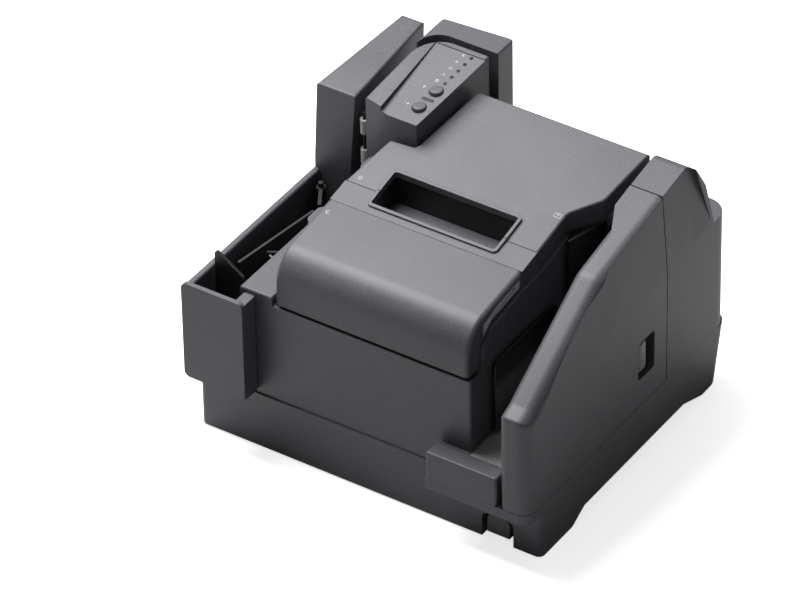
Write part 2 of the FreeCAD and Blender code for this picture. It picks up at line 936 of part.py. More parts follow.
# Place and size of each chip as shares of the board: left, front, width, length
CHIP_SHARES = (
    (0.12, 0.3, 0.1, 0.2),
    (0.3, 0.2, 0.16, 0.3),
    (0.55, 0.25, 0.08, 0.22),
    (0.72, 0.3, 0.12, 0.24),
)


def main_frame():
    """Steel channel across the case that stiffens it under the print unit."""
    s = size
    body = new_body("main_frame")
    pad(body, "XZ", s.frame_front, s.frame_rear, [
        (s.frame_left, s.frame_top),
        (s.frame_left, case_floor),
        (s.frame_right, case_floor),
        (s.frame_right, s.frame_top),
        (s.frame_right - s.sheet, s.frame_top),
        (s.frame_right - s.sheet, case_floor + s.sheet),
        (s.frame_left + s.sheet, case_floor + s.sheet),
        (s.frame_left + s.sheet, s.frame_top),
    ])


# Centre housing

def centre_housing():
    """Moulded shell round the roll bay, with the front panel, the shoulder and the side walls."""
    s = size
    body = new_body("centre_housing")
    pad(body, "XY", s.seam_height, panel_top, [
        (s.body_left, s.body_front, s.front_corner / 2),
        (s.body_right, s.body_front, s.front_corner / 2),
        (s.body_right, s.flare_front),
        (s.flare_x, s.flare_y),
        (s.rear_right, s.flare_rear),
        (s.rear_right, s.rear_wall),
        (s.rear_left, s.rear_wall),
        (s.rear_left, s.body_rear),
        (s.body_left, s.body_rear),
    ])
    pad(body, "XY", panel_top - s.wall, shoulder_top, box(
        s.body_left, s.shoulder_right, s.body_front, s.body_rear))
    fillet(body, s.edge_round, edges_near(body, [
        (s.body_left, s.depth / 4, shoulder_top),
        (s.body_left / 2 + s.shoulder_right / 2, s.body_front, shoulder_top),
        (s.shoulder_right, s.depth / 4, shoulder_top),
    ]))
    pad(body, "YZ", inner_right, s.body_right, [
        (s.ledge_toe, panel_top - s.wall), (s.ledge_toe, panel_top)] + ledge + [
        (s.flare_front, panel_top - s.wall)])
    pad(body, "YZ", s.top_left_front, s.top_left_front + s.side_wall, [
        (s.strip_front, panel_top - s.wall)] + ledge[3:] + [(s.flare_front, panel_top - s.wall)])
    rise_left = s.top_left_front + s.side_wall
    pad(body, "XY", panel_top - s.wall, s.rise_height, [
        (rise_left, s.rise_front),
        (inner_right, s.rise_front),
        (inner_right, s.flare_front),
        (s.flare_x - s.side_wall, s.flare_y),
        (s.rear_right - s.side_wall, s.flare_rear),
        (s.rear_right - s.side_wall, s.rear_wall - s.side_wall),
        (s.top_rear_left + s.side_wall, s.rear_wall - s.side_wall),
        (s.top_rear_left + s.side_wall, s.flare_front),
        (rise_left, s.flare_front),
    ])
    cut(body, "XY", s.seam_height - s.overrun, panel_top - s.wall, [
        (s.body_left + s.wall, s.body_front + s.wall),
        (inner_right, s.body_front + s.wall),
        (inner_right, s.flare_front),
        (s.flare_x - s.side_wall, s.flare_y),
        (s.rear_right - s.side_wall, s.flare_rear),
        (s.rear_right - s.side_wall, s.rear_wall - s.wall),
        (s.rear_left + s.wall, s.rear_wall - s.wall),
        (s.rear_left + s.wall, s.body_rear - s.wall),
        (s.body_left + s.wall, s.body_rear - s.wall),
    ])
    pad(body, "XY", s.roll_floor - s.wall, panel_top - s.wall / 2, box(
        slot_left - s.wall, slot_right + s.wall, s.roll_front - s.wall, s.roll_rear + s.wall))
    cut(body, "YZ", slot_left, slot_right, [
        (s.roll_front, panel_top + s.overrun),
        (s.roll_front, s.roll_floor, s.roll_round),
        (s.roll_rear, s.roll_floor, s.roll_round),
        (s.roll_rear, panel_top + s.overrun),
    ])
    well = size.gap * 3
    well_reach = s.gear_module * (DRIVE_TEETH / 2 + 1) + s.gap * 2
    cut(body, "XY", drive_z - well_reach - s.wall, panel_top + s.overrun, box(
        gear_left - well, gear_right + well, drive_y - well_reach, motor_y + well_reach / 2))
    post_x = (s.top_rear_left + s.top_hinge_inset, s.top_right - s.top_hinge_inset)
    for x in post_x:
        eye = s.top_hinge_radius
        pad(body, "YZ", x - s.hinge_ear * 2, x + s.hinge_ear * 2, [
            (s.top_pin_y - eye * POST_FOOT_SHARE, s.rise_height - s.wall),
            (s.top_pin_y - eye, s.top_pin_z + eye, eye * BLUNT_SHARE),
            (s.top_pin_y + eye, s.top_pin_z + eye, eye * ROUND_SHARE),
            (s.top_pin_y + eye, s.top_pin_z - eye, eye * ROUND_SHARE),
            (s.top_pin_y - eye * POST_WAIST_SHARE, s.top_pin_z - eye),
            (s.top_pin_y - eye * POST_WAIST_SHARE, s.rise_height - s.wall),
        ])
        cut(body, "YZ", x - s.hinge_ear * 2 - s.overrun, x + s.hinge_ear * 2 + s.overrun, (
            s.top_pin_y, s.top_pin_z, s.hinge_pin_radius + s.play))
    groove = s.ear_half + s.gap * 4
    cut(body, "YZ", s.cover_left - s.gap, s.cover_right + s.gap, box(
        s.hinge_y - groove, s.hinge_y + groove, panel_top - s.hinge_groove, panel_top + s.overrun))
    for x, side in hinge_posts():
        foot = s.hinge_y + s.ear_reach
        pad(body, "YZ", x, x + s.hinge_ear, [
            (s.hinge_y - s.ear_half, s.hinge_z - s.ear_half, s.ear_half * ROUND_SHARE),
            (foot, s.hinge_z - s.ear_half),
            (foot, panel_top - s.wall),
            (foot + s.ear_half, panel_top - s.wall),
            (foot + s.ear_half, s.hinge_z + s.ear_half),
            (s.hinge_y - s.ear_half, s.hinge_z + s.ear_half, s.ear_half * ROUND_SHARE),
        ])
        cut(body, "YZ", x - s.overrun, x + s.hinge_ear + s.overrun, (
            s.hinge_y, s.hinge_z, s.hinge_pin_radius + s.play))
    cut(body, "XY", s.seam_height - s.overrun, s.feed_low, (s.feed_x, s.feed_y, s.feed_shaft + s.play))
    for y, z in hopper_stem_places():
        cut(body, "YZ", inner_right - s.overrun, s.body_right + s.overrun, (y, z, s.hopper_stem + s.play))
    cut(body, "XY", s.feed_low - s.gap, s.feed_high + s.gap, (s.feed_x, s.feed_y, s.feed_radius + s.gap * 2))
    lug = s.feed_high + s.gap
    pad(body, "XY", lug, lug + s.feed_lug, (s.feed_x, s.feed_y, s.feed_radius * LUG_SHARE))
    cut(body, "XY", s.feed_high, lug + s.feed_lug + s.overrun, (s.feed_x, s.feed_y, s.feed_shaft + s.play))
    return body


def hinge_posts():
    """List the ears that carry the roll cover as (left x, side of the cover wall)."""
    s = size
    left = s.cover_left + s.cover_skin + s.gap
    right = s.cover_right - s.cover_skin - s.gap - s.hinge_ear
    return [(left, -1), (right, 1)]


# Roll cover, platen and gears

def roll_cover():
    """Hollow rounded lid over the paper roll, with pins at its front foot and two arms for the platen."""
    s = size
    body = new_body("roll_cover")
    rear_height = s.strip_front_height + s.gap
    pad(body, "YZ", s.cover_left, s.cover_right, [
        (s.cover_front, s.cover_bottom, s.cover_round),
        (s.cover_front_top, s.cover_nose, s.cover_bow),
        (s.cover_rear, rear_height),
        (s.cover_rear, s.cover_bottom),
    ])
    middle = s.depth / 5
    bow_end = s.cover_bow * BOW_END_SHARE
    height = s.cover_nose + (rear_height - s.cover_nose) / 2
    names = edges_near(body, [
        (s.cover_left, middle, height), (s.cover_left, s.cover_front, s.cover_bottom + s.cover_bow / 2),
        (s.cover_left, s.cover_front_top + bow_end, s.cover_nose - bow_end),
        (s.cover_right, middle, height), (s.cover_right, s.cover_front, s.cover_bottom + s.cover_bow / 2),
        (s.cover_right, s.cover_front_top + bow_end, s.cover_nose - bow_end),
    ])
    fillet(body, s.cover_round, names)
    skin = s.cover_skin
    cut(body, "YZ", s.cover_left + skin, s.cover_right - skin, [
        (s.cover_front + skin, s.cover_bottom - s.overrun),
        (s.cover_front_top + skin, s.cover_nose - skin, s.cover_bow - skin),
        (s.cover_rear + s.overrun, rear_height - skin),
        (s.cover_rear + s.overrun, s.cover_bottom - s.overrun),
    ])
    gap = s.gap
    cut(body, "YZ", inner_right - gap, s.cover_right + s.overrun, [
        (s.ledge_toe - gap * EASE_SHARE, s.cover_bottom - s.overrun),
        (s.ledge_toe - gap * EASE_SHARE, s.cover_bottom),
        (s.ledge_step - gap, s.hinge_z + gap * 2),
        (s.ledge_step - gap, s.step_high + gap * 2),
        (s.ledge_ramp - gap, s.step_ramp + gap * 2),
        (s.strip_front, s.step_rear + gap * 2),
        (s.cover_rear + s.overrun, s.cover_bottom - s.overrun),
    ])
    for x in (slot_left - s.arm_thick, slot_right):
        pad(body, "YZ", x, x + s.arm_thick, [
            (s.platen_y - s.arm_half, s.platen_z - s.arm_half, s.arm_half * ROUND_SHARE),
            (s.platen_y + s.arm_half, s.platen_z - s.arm_half, s.arm_half * ROUND_SHARE),
            (s.platen_y + s.arm_half, rear_height - skin * EASE_SHARE),
            (s.platen_y - s.arm_half, rear_height - skin * EASE_SHARE),
        ])
        cut(body, "YZ", x - s.overrun, x + s.arm_thick + s.overrun, (
            s.platen_y, s.platen_z, s.shaft_radius + s.play))
    for x, side in hinge_posts():
        wall_x = s.cover_left + skin if side < 0 else s.cover_right - skin - s.hinge_pin_length
        pad(body, "YZ", wall_x, wall_x + s.hinge_pin_length, (s.hinge_y, s.hinge_z, s.hinge_pin_radius))
    tab_middle = s.cover_rear - s.tab_length * TAB_SET_SHARE
    pad(body, "XY", s.tab_height - s.tab_thick, s.tab_height, [
        (s.cover_left + skin, tab_middle - s.tab_length / 2),
        (s.cover_left + skin, tab_middle + s.tab_length / 2),
        (s.cover_left - s.tab_proud, tab_middle + s.tab_length / 4, s.tab_length * TAB_ROUND_SHARE),
        (s.cover_left - s.tab_proud, tab_middle - s.tab_length / 4, s.tab_length * TAB_ROUND_SHARE),
    ])


def side_label():
    """Bare silver film on the right side of the roll cover."""
    s = size
    body = new_body("side_label")
    low = s.cover_bottom
    tall = s.strip_front_height - low
    points = [(s.strip_front * y, low + tall * z) for y, z in LABEL_SHARES]
    pad(body, "YZ", s.cover_right, s.cover_right + s.label_thick, points)


# Corners of the side label: share of the cover's rear edge, and of its height
LABEL_SHARES = (
    (0.438, 0.542), (0.542, 0.683), (0.953, 0.783),
    (0.957, 0.914), (0.611, 0.829), (0.438, 0.723),
)


def platen_roller():
    """Rubber sleeve of the platen."""
    s = size
    body = new_body("platen_roller")
    left = slot_left + s.platen_side_gap
    right = slot_right - s.platen_side_gap
    pad(body, "YZ", left, right, (s.platen_y, s.platen_z, s.platen_radius))
    cut(body, "YZ", left - s.overrun, right + s.overrun, (s.platen_y, s.platen_z, s.shaft_radius))


def platen_shaft():
    """Steel shaft that turns in the two arms of the roll cover."""
    s = size
    left = slot_left - s.arm_thick - s.gap
    rod("platen_shaft", "x", left, gear_right, s.platen_y, s.platen_z, s.shaft_radius)


def gear(label, teeth, y, z, turn, bore):
    """Spur gear on an X axis: a disc, one trapezoid tooth and a polar pattern of it."""
    s = size
    body = new_body(label, y=y, z=z, turn=turn)
    pitch = s.gear_module * (teeth / 2)
    root = pitch - s.gear_module * TOOTH_ROOT_SHARE
    tip = pitch + s.gear_module * TOOTH_TIP_SHARE
    pad(body, "YZ", gear_left, gear_right, (0, 0, root))
    foot = s.gear_module * TOOTH_FOOT_SHARE
    crest = s.gear_module * TOOTH_CREST_SHARE
    tooth = pad(body, "YZ", gear_left, gear_right, [
        (root * TOOTH_SINK_SHARE, -foot), (tip, -crest), (tip, crest), (root * TOOTH_SINK_SHARE, foot)])
    pattern = body.newObject("PartDesign::PolarPattern", f"{label}_pattern")
    pattern.Originals = [tooth]
    pattern.Axis = (tooth.Profile[0], ["N_Axis"])
    pattern.Angle = 360
    pattern.Occurrences = teeth
    body.Tip = pattern
    doc.recompute()
    cut(body, "YZ", gear_left - s.overrun, gear_right + s.overrun, (0, 0, bore))
    return body


def gear_train():
    """Platen gear, drive gear and motor pinion, turned so that their teeth mesh."""
    s = size
    way_1 = math.degrees(math.atan2(DRIVE_WAY_SHARES[1], DRIVE_WAY_SHARES[0]))
    way_2 = math.degrees(math.atan2(MOTOR_WAY_SHARES[1], MOTOR_WAY_SHARES[0]))
    drive_turn = way_1 + 180 + 180 / DRIVE_TEETH
    pitch_angle = 360 / DRIVE_TEETH
    offset = (way_2 - drive_turn) / pitch_angle
    part_tooth = offset - math.floor(offset)
    pinion_turn = way_2 + 180 + 180 / PINION_TEETH + part_tooth * 360 / PINION_TEETH
    gear("platen_gear", PLATEN_TEETH, s.platen_y, s.platen_z, way_1, s.shaft_radius)
    gear("drive_gear", DRIVE_TEETH, drive_y, drive_z, drive_turn, s.shaft_radius / 2 + s.play)
    gear("motor_pinion", PINION_TEETH, motor_y, motor_z, pinion_turn, s.pinion_bore)


def drive_motor():
    """Stepper motor behind the roll bay, with its shaft and the stud of the drive gear."""
    s = size
    body = new_body("drive_motor")
    face = gear_left - s.gear_lead * 2
    pad(body, "YZ", face - s.motor_length, face - s.sheet, (motor_y, motor_z, s.motor_radius))
    pad(body, "YZ", face - s.sheet, face, box(
        drive_y - s.stand_radius * BRACKET_SHARE, motor_y + s.motor_radius,
        drive_z - s.motor_radius, drive_z + s.stand_radius))
    pad(body, "YZ", face - s.overrun, gear_right + s.gap, (drive_y, drive_z, s.shaft_radius / 2))
    pad(body, "YZ", face - s.overrun, gear_right, (motor_y, motor_z, s.pinion_bore - s.play))


# Print head and cutter

def print_head():
    """Thermal head: a ceramic strip on an aluminium heat sink with fins at its back."""
    s = size
    body = new_body("print_head")
    left = slot_left + s.platen_side_gap
    right = slot_right - s.platen_side_gap
    face = s.platen_y + s.platen_radius + s.head_gap
    back = face + s.head_thick
    pad(body, "YZ", left, right, [
        (face, s.head_low + s.wall),
        (face, s.head_high - s.wall),
        (back, s.head_high),
        (back + s.sink_thick, s.head_high),
        (back + s.sink_thick, s.head_low),
        (back, s.head_low),
    ])
    sink_rear = back + s.sink_thick + s.overrun
    fins = []
    count = 11
    pitch = (right - left) / count
    for i in range(count):
        x = left + pitch * (i + FIN_START_SHARE)
        fins.append(box(x, x + pitch * FIN_GAP_SHARE, back + s.sink_thick / 3, sink_rear))
    cut(body, "XY", s.head_low + s.wall * FIN_FOOT_SHARE, s.head_high + s.overrun, *fins)


def head_springs():
    """Two pressure springs between the cutter frame and the head."""
    s = size
    back = s.platen_y + s.platen_radius + s.head_gap + s.head_thick + s.sink_thick
    body = new_body("head_springs")
    places = [(slot_left + s.paper_width * share, s.head_low + s.spring_radius, s.spring_radius)
              for share in SPRING_SHARES]
    pad(body, "XZ", back, cutter_front(), *places)


def cutter_front():
    """Give the front of the cutter frame, behind the head and its springs."""
    s = size
    return s.platen_y + s.platen_radius + s.head_gap + s.head_thick + s.sink_thick + s.spring_length


def cutter_frame():
    """Body of the cutter with the sloping paper passage and ribs on its front apron."""
    s = size
    body = new_body("cutter_frame")
    front = cutter_front()
    left = slot_left - s.wall
    right = slot_right + s.wall
    slit_rear = s.slit_front + s.slit_width
    pad(body, "XY", s.cutter_low, s.cutter_high, box(left, right, front, s.cutter_rear))
    low_front = front - s.overrun
    low = (s.cutter_low + s.cutter_high) / 2
    cut(body, "YZ", slot_left + s.overrun, slot_right - s.overrun, [
        (low_front, low),
        (s.slit_front, s.cutter_high + s.overrun),
        (slit_rear, s.cutter_high + s.overrun),
        (low_front, low - s.slit_width),
    ])
    ribs = []
    x = slot_left + s.floor_rib_pitch
    front = s.slot_front + s.slot_wall + s.gap * 2
    rear = s.slit_front - s.blade_tooth * 2
    while x.mm < slot_right.mm - s.floor_rib_pitch.mm:
        ribs.append(box(x, x + s.floor_rib, front, rear))
        x = x + s.floor_rib_pitch
    pad(body, "XY", s.cutter_high, s.cutter_high + s.floor_rib, *ribs)


def tear_blade():
    """Steel blade with a saw edge along the front of the slit."""
    s = size
    body = new_body("tear_blade")
    front = s.slit_front - s.blade_tooth * EASE_SHARE
    tip = s.slit_front + s.blade_tooth * BLADE_TIP_SHARE
    root = s.slit_front - s.blade_tooth * BLADE_ROOT_SHARE
    count = 24
    left = slot_left + s.floor_rib_pitch
    pitch = (slot_right - s.floor_rib_pitch - left) / count
    points = [(left, front)]
    for i in range(count):
        points.append((left + pitch * i, root))
        points.append((left + pitch * i + pitch / 2, tip))
    points.append((left + pitch * count, root))
    points.append((left + pitch * count, front))
    pad(body, "XY", s.cutter_high, s.cutter_high + s.blade_thick, points)


def slot_ring(y0, y1, side):
    """Give the outline of half the slot frame: side is -1 for the front half and 1 for the rear half."""
    s = size
    left = slot_left - s.bead / 2
    right = slot_right + s.bead / 2
    corner = s.slot_corner
    if side < 0:
        return [(left, y1), (left, y0, corner), (right, y0, corner), (right, y1)]
    return [(left, y0), (right, y0), (right, y1, corner), (left, y1, corner)]


def cutter_cover():
    """Fixed strip between the two lids, with the front half of the raised frame round the paper slot."""
    s = size
    body = new_body("cutter_cover")
    skin = s.top_skin
    under = s.top_skirt + s.gap
    foot = s.strip_rear + s.seam_bevel
    side = [
        (s.strip_front, s.strip_front_height),
        (s.strip_rear, s.top_front_height),
        (foot, top_height(foot) - under),
        (s.strip_rear, top_height(s.strip_rear) - under),
        (s.strip_front, s.step_rear),
    ]
    pad(body, "YZ", s.top_left_front, s.top_right, [
        (s.strip_front, s.strip_front_height),
        (s.strip_rear, s.top_front_height),
        (s.strip_rear + s.seam_bevel * SEAM_LIP_SHARE, s.top_front_height - skin),
        (s.strip_front, s.strip_front_height - skin),
    ])
    pad(body, "YZ", s.top_left_front, s.top_left_front + skin, side)
    pad(body, "YZ", s.top_right - skin, s.top_right, side)
    bead_ring(body, s.slot_front, s.strip_rear, -1)


def bead_ring(body, y0, y1, side):
    """Add half of the raised frame to a cover and open the slot inside it."""
    s = size
    bead_low = s.strip_front_height
    high = top_height(s.slot_rear) + s.bead_proud + s.overrun
    pad(body, "XY", bead_low, high, slot_ring(y0, y1, side))
    left = slot_left - s.bead * 2
    right = slot_right + s.bead * 2
    front = y0 - s.overrun
    rear = y1 + s.overrun
    slope_cut(body, left, right, (front, top_height(front) + s.bead_proud),
              (rear, top_height(rear) + s.bead_proud), high + s.overrun)
    inner_left = slot_left + s.bead / 2
    inner_right_edge = slot_right - s.bead / 2
    if side < 0:
        opening = [(inner_left, y1 + s.seam_bevel), (inner_left, y0 + s.bead, s.slot_corner / 2),
                   (inner_right_edge, y0 + s.bead, s.slot_corner / 2), (inner_right_edge, y1 + s.seam_bevel)]
    else:
        corner = s.slot_corner / 2
        opening = [
            (inner_left, y0 - s.overrun),
            (inner_right_edge, y0 - s.overrun),
            (inner_right_edge, y1 - s.bead, corner),
            (inner_left, y1 - s.bead, corner),
        ]
    cut(body, "XY", bead_low - s.top_skirt, high + s.overrun, opening)


def slot_walls():
    """Dark well below the slot frame: four thin walls on the cutter frame."""
    s = size
    body = new_body("slot_walls")
    left = slot_left - s.slot_wall / 2
    right = slot_right + s.slot_wall / 2
    high = top_height(s.slot_rear)
    pad(body, "XY", s.cutter_high, high, box(left, right, s.slot_front, s.slot_rear))
    under = s.top_skin + s.gap * 3
    slope_cut(body, left - s.overrun, right + s.overrun,
              (s.slot_front - s.overrun, s.strip_front_height + s.slot_fall - under),
              (s.slot_rear + s.overrun, top_height(s.slot_rear) - under), high + s.overrun)
    wall = s.slot_wall
    inner = box(left + wall, right - wall, s.slot_front + wall, s.slot_rear - wall)
    cut(body, "XY", s.cutter_high - s.overrun, high + s.overrun, inner)


# Top cover

def top_cover():
    """Large sloping lid with skirts, the rear half of the slot frame and four ears for its hinge pins."""
    s = size
    body = new_body("top_cover")
    front = s.strip_rear + s.gap
    low = s.top_front_height - s.top_skirt
    over = s.overrun
    high = top_height(s.top_rear) + over
    pad(body, "XY", low, high, [
        (s.top_left_front, front),
        (s.top_right, front),
        (s.top_right, s.top_flare_front, s.lip_corner),
        (s.top_flare_x, s.top_flare_y, s.lip_corner),
        (s.top_rear_right, s.top_rear),
        (s.top_rear_left, s.top_rear),
        (s.top_notch_side, s.top_notch_rear, s.edge_round),
        (s.top_notch_right, s.top_notch_front, s.edge_round),
        (s.top_left_rear, s.top_notch_y),
    ])
    slope_cut(body, -half, half, (front - over, top_height(front - over)),
              (s.top_rear + over, top_height(s.top_rear + over)), high + over)
    cut(body, "YZ", -half, half, [
        (front - over, low - over),
        (s.top_rear + over, low - over),
        (s.top_rear + over, top_height(s.top_rear + over) - s.top_skirt),
        (front - over, top_height(front - over) - s.top_skirt),
    ])
    mid_y = (front + s.top_notch_y) / 2
    left_mid = (s.top_left_front + s.top_left_rear) / 2
    rear_mid = (s.top_flare_y + s.top_rear) / 2
    fillet(body, s.edge_round, edges_near(body, [
        (left_mid, mid_y, top_height(mid_y)),
        (s.top_right, mid_y, top_height(mid_y)),
        ((s.top_right + s.top_flare_x) / 2, (s.top_flare_front + s.top_flare_y) / 2,
         top_height((s.top_flare_front + s.top_flare_y) / 2)),
        ((s.top_flare_x + s.top_rear_right) / 2, rear_mid, top_height(rear_mid)),
        (s.top_right / 2, s.top_rear, top_height(s.top_rear)),
    ]))
    bead_ring(body, front, s.slot_rear, 1)
    cut(body, "YZ", -half, half, [
        (front - over, low - over),
        (front + s.seam_bevel * SEAM_FOOT_SHARE, low - over),
        (front, s.top_front_height),
        (front - over, s.top_front_height),
    ])
    skin = s.top_skin
    hollow(body, s.top_left_rear + skin, s.top_right - skin, front - over, s.top_notch_y - skin)
    hollow(body, s.top_notch_side + skin * 4, s.top_right - skin, front - over, s.top_rear - skin)
    hollow(body, s.top_right - skin * 2, s.top_flare_x - skin, s.top_flare_y + skin, s.top_rear - skin)
    for x in top_posts():
        for ear_left in (x - s.hinge_ear * 2 - s.gap - s.hinge_ear, x + s.hinge_ear * 2 + s.gap):
            reach = s.top_hinge_radius * ROUND_SHARE
            pad(body, "YZ", ear_left, ear_left + s.hinge_ear, [
                (s.top_pin_y - reach, s.top_pin_z - reach, reach * ROUND_SHARE),
                (s.top_pin_y + reach, s.top_pin_z - reach, reach * ROUND_SHARE),
                (s.top_pin_y + reach, top_height(s.top_pin_y) - skin * BLUNT_SHARE),
                (s.top_pin_y - reach, top_height(s.top_pin_y) - skin * BLUNT_SHARE),
            ])
            cut(body, "YZ", ear_left - over, ear_left + s.hinge_ear + over, (
                s.top_pin_y, s.top_pin_z, s.hinge_pin_radius))
    tab_y = s.lever_y + s.lever_length * LEVER_SET_SHARE
    tab_z = top_height(s.lever_y) - s.top_skirt / 2
    left = s.top_left_rear
    pad(body, "XY", tab_z - s.tab_thick, tab_z, [
        (left, tab_y - s.lever_length),
        (left, tab_y + s.lever_length),
        (s.top_left_front - s.tab_proud, tab_y + s.lever_length / 2, s.lever_length * LEVER_ROUND_SHARE),
        (s.top_left_front - s.tab_proud, tab_y - s.lever_length / 2, s.lever_length * LEVER_ROUND_SHARE),
    ])


def hollow(body, left, right, front, rear):
    """Empty part of the sloping lid from below and leave its skin."""
    s = size
    cut(body, "YZ", left, right, [
        (front, top_height(front) - s.top_skirt * SKIRT_SHARE),
        (rear, top_height(rear) - s.top_skirt * SKIRT_SHARE),
        (rear, top_height(rear) - s.top_skin),
        (front, top_height(front) - s.top_skin),
    ])


def top_posts():
    """Give the middle x of the two hinge posts of the top cover."""
    return (size.top_rear_left + size.top_hinge_inset, size.top_right - size.top_hinge_inset)


def top_cover_pins():
    """Steel hinge pins pressed into the ears of the top cover."""
    s = size
    body = new_body("top_cover_pins")
    for x in top_posts():
        reach = s.hinge_ear * 3 + s.gap
        pad(body, "YZ", x - reach, x + reach, (s.top_pin_y, s.top_pin_z, s.hinge_pin_radius))


# Pocket for the sorted cheques

def pocket_case():
    """Open trough: front plate, outer wall, floor and the column behind the plate's right end."""
    s = size
    body = new_body("pocket_case")
    wall_left = -half + s.pocket_wall_inset
    wall_right = wall_left + s.pocket_wall
    floor_top = s.seam_height + s.pocket_floor
    pad(body, "XZ", 0, s.plate_thick, round_box(
        -half, s.plate_right, s.plate_bottom, s.pocket_top, s.plate_corner))
    pad(body, "YZ", wall_left, wall_right, [
        (s.plate_thick / 2, s.pocket_top),
        (s.plate_thick / 2, s.plate_bottom),
        (s.base_front, s.seam_height),
        (s.pocket_rear, s.seam_height),
        (s.pocket_rear, s.pocket_top),
    ])
    fillet(body, s.edge_round, edges_near(body, [
        (wall_left, s.depth / 4, s.pocket_top), (wall_right, s.depth / 4, s.pocket_top)]))
    pad(body, "XY", s.seam_height, floor_top, box(
        wall_right - s.overrun, s.body_left, s.base_front, s.pocket_rear))
    pad(body, "XY", s.column_low, s.pocket_top - s.column_drop, round_box(
        s.column_left, s.plate_right - s.overrun, s.plate_thick / 2, s.body_front, s.edge_round))
    rail = s.rail_width
    for x in (wall_right + rail, s.body_left - rail * 2):
        cut(body, "XY", floor_top - s.pocket_floor / 2, floor_top + s.overrun, box(
            x, x + rail, s.stopper_y, s.stopper_y + s.stopper_foot + s.stopper_travel))
    cut(body, "XY", s.seam_height - s.overrun, floor_top + s.overrun, (
        s.gate_x, s.gate_y, s.gate_radius + s.play))
    return body


def pocket_stopper():
    """Sliding end stop across the pocket, its top edge slanting down to the right."""
    s = size
    body = new_body("pocket_stopper")
    floor_top = s.seam_height + s.pocket_floor
    left = -half + s.pocket_wall_inset + s.pocket_wall + s.rail_width
    right = s.body_left - s.rail_width
    pad(body, "XZ", s.stopper_y, s.stopper_y + s.stopper_thick, [
        (left, floor_top + s.gap),
        (right, floor_top + s.gap),
        (right, s.pocket_top, s.edge_round),
        (left, s.stopper_left_top, s.edge_round),
    ])
    for x in (left, right - s.rail_width):
        pad(body, "XY", floor_top + s.gap, floor_top + s.rail_width * 2, box(
            x, x + s.rail_width, s.stopper_y, s.stopper_y + s.stopper_foot))
        pad(body, "XY", floor_top - s.pocket_floor / 2 + s.play, floor_top + s.rail_width, box(
            x + s.play, x + s.rail_width - s.play, s.stopper_y + s.gap, s.stopper_y + s.stopper_foot))


def pocket_divider():
    """Thin upright sheet that parts the pocket in two."""
    s = size
    body = new_body("pocket_divider")
    outline = plate_outline((s.divider_front_x, s.divider_front_y), (s.divider_rear_x, s.divider_rear_y),
                            s.divider_thick)
    pad(body, "XY", s.seam_height + s.pocket_floor, s.divider_top, outline)


def pocket_spring_wire():
    """Bent wire on the inner wall that presses the cheques outwards."""
    s = size
    tip = (s.wire_tip_x, s.wire_tip_y, s.wire_tip_z)
    body = new_body("pocket_spring_wire")
    high = s.wire_tip_z + s.wire_arm / 2
    low = s.wire_tip_z - s.wire_arm / 2
    thick = s.wire_radius * 2
    pad(body, "XZ", tip[1] - s.wire_radius, tip[1] + s.wire_radius, [
        (s.body_left, high + thick),
        (s.body_left, high),
        (tip[0] + thick * BRACKET_SHARE, tip[2], s.wire_radius),
        (s.body_left, low),
        (s.body_left, low - thick),
        (tip[0], tip[2], thick),
    ])


def sorting_gate():
    """Grey upright shaft with a paddle that steers each cheque to one side of the divider."""
    s = size
    shaft = new_body("gate_shaft")
    low = s.seam_height + s.play
    pad(shaft, "XY", low, s.gate_top + s.gate_hub, (s.gate_x, s.gate_y, s.gate_radius))
    body = new_body("sorting_gate")
    end = (s.gate_x + s.gate_aside, s.gate_y - s.gate_reach)
    pad(body, "XY", s.gate_low, s.gate_top, (s.gate_x, s.gate_y, s.gate_hub))
    pad(body, "XY", s.gate_low, s.gate_top, plate_outline((s.gate_x, s.gate_y), end, s.gate_thick))
    cut(body, "XY", s.gate_low - s.overrun, s.gate_top + s.overrun, (s.gate_x, s.gate_y, s.gate_radius))


# Towers over the document path

def left_tower():
    """Wedge behind the pocket whose right face leans over the document path."""
    s = size
    body = new_body("left_tower")
    low = s.deck_height
    high = s.left_top_rear + s.overrun
    bottom = [
        (s.left_tower_left, s.tower_front), (s.left_tower_right, s.tower_front),
        (s.left_rear_right - s.rail_width, s.left_rear_y), (s.left_rear_left - s.rail_width, s.left_rear_y)]
    top = [
        (s.left_top_left, s.tower_front), (s.left_top_right, s.tower_front),
        (s.left_rear_right, s.left_rear_y), (s.left_rear_left, s.left_rear_y)]
    pad_loft(body, "XY", [(low, bottom), (high, top)])
    slope_cut(body, -half, 0, (s.tower_front - s.overrun, s.left_top_front),
              (s.left_rear_y + s.overrun, s.left_top_rear), high + s.overrun)
    share = 0.65
    back_left = s.left_tower_left + (s.left_rear_left - s.rail_width - s.left_tower_left) * share
    pad(body, "XY", s.seam_height, low, [
        bottom[0], bottom[1], (s.left_tower_right, s.rear_wall), (back_left, s.rear_wall)])
    middle = (s.tower_front + s.left_rear_y) / 2
    height = (s.left_top_front + s.left_top_rear) / 2
    fillet(body, s.edge_round, edges_near(body, [
        ((s.left_top_left + s.left_rear_left) / 2, middle, height),
        ((s.left_top_right + s.left_rear_right) / 2, middle, height),
        ((s.left_top_left + s.left_top_right) / 2, s.tower_front, s.left_top_front),
        ((s.left_rear_left + s.left_rear_right) / 2, s.left_rear_y, s.left_top_rear),
    ]))


def panel_height_at(y):
    """Give the height of the sloping operation panel at a distance from the front."""
    s = size
    rise = PANEL_SLOPE_SHARE
    return s.panel_front_height + (as_length(y) - s.panel_front) * rise


PANEL_SLOPE_SHARE = 0.2205


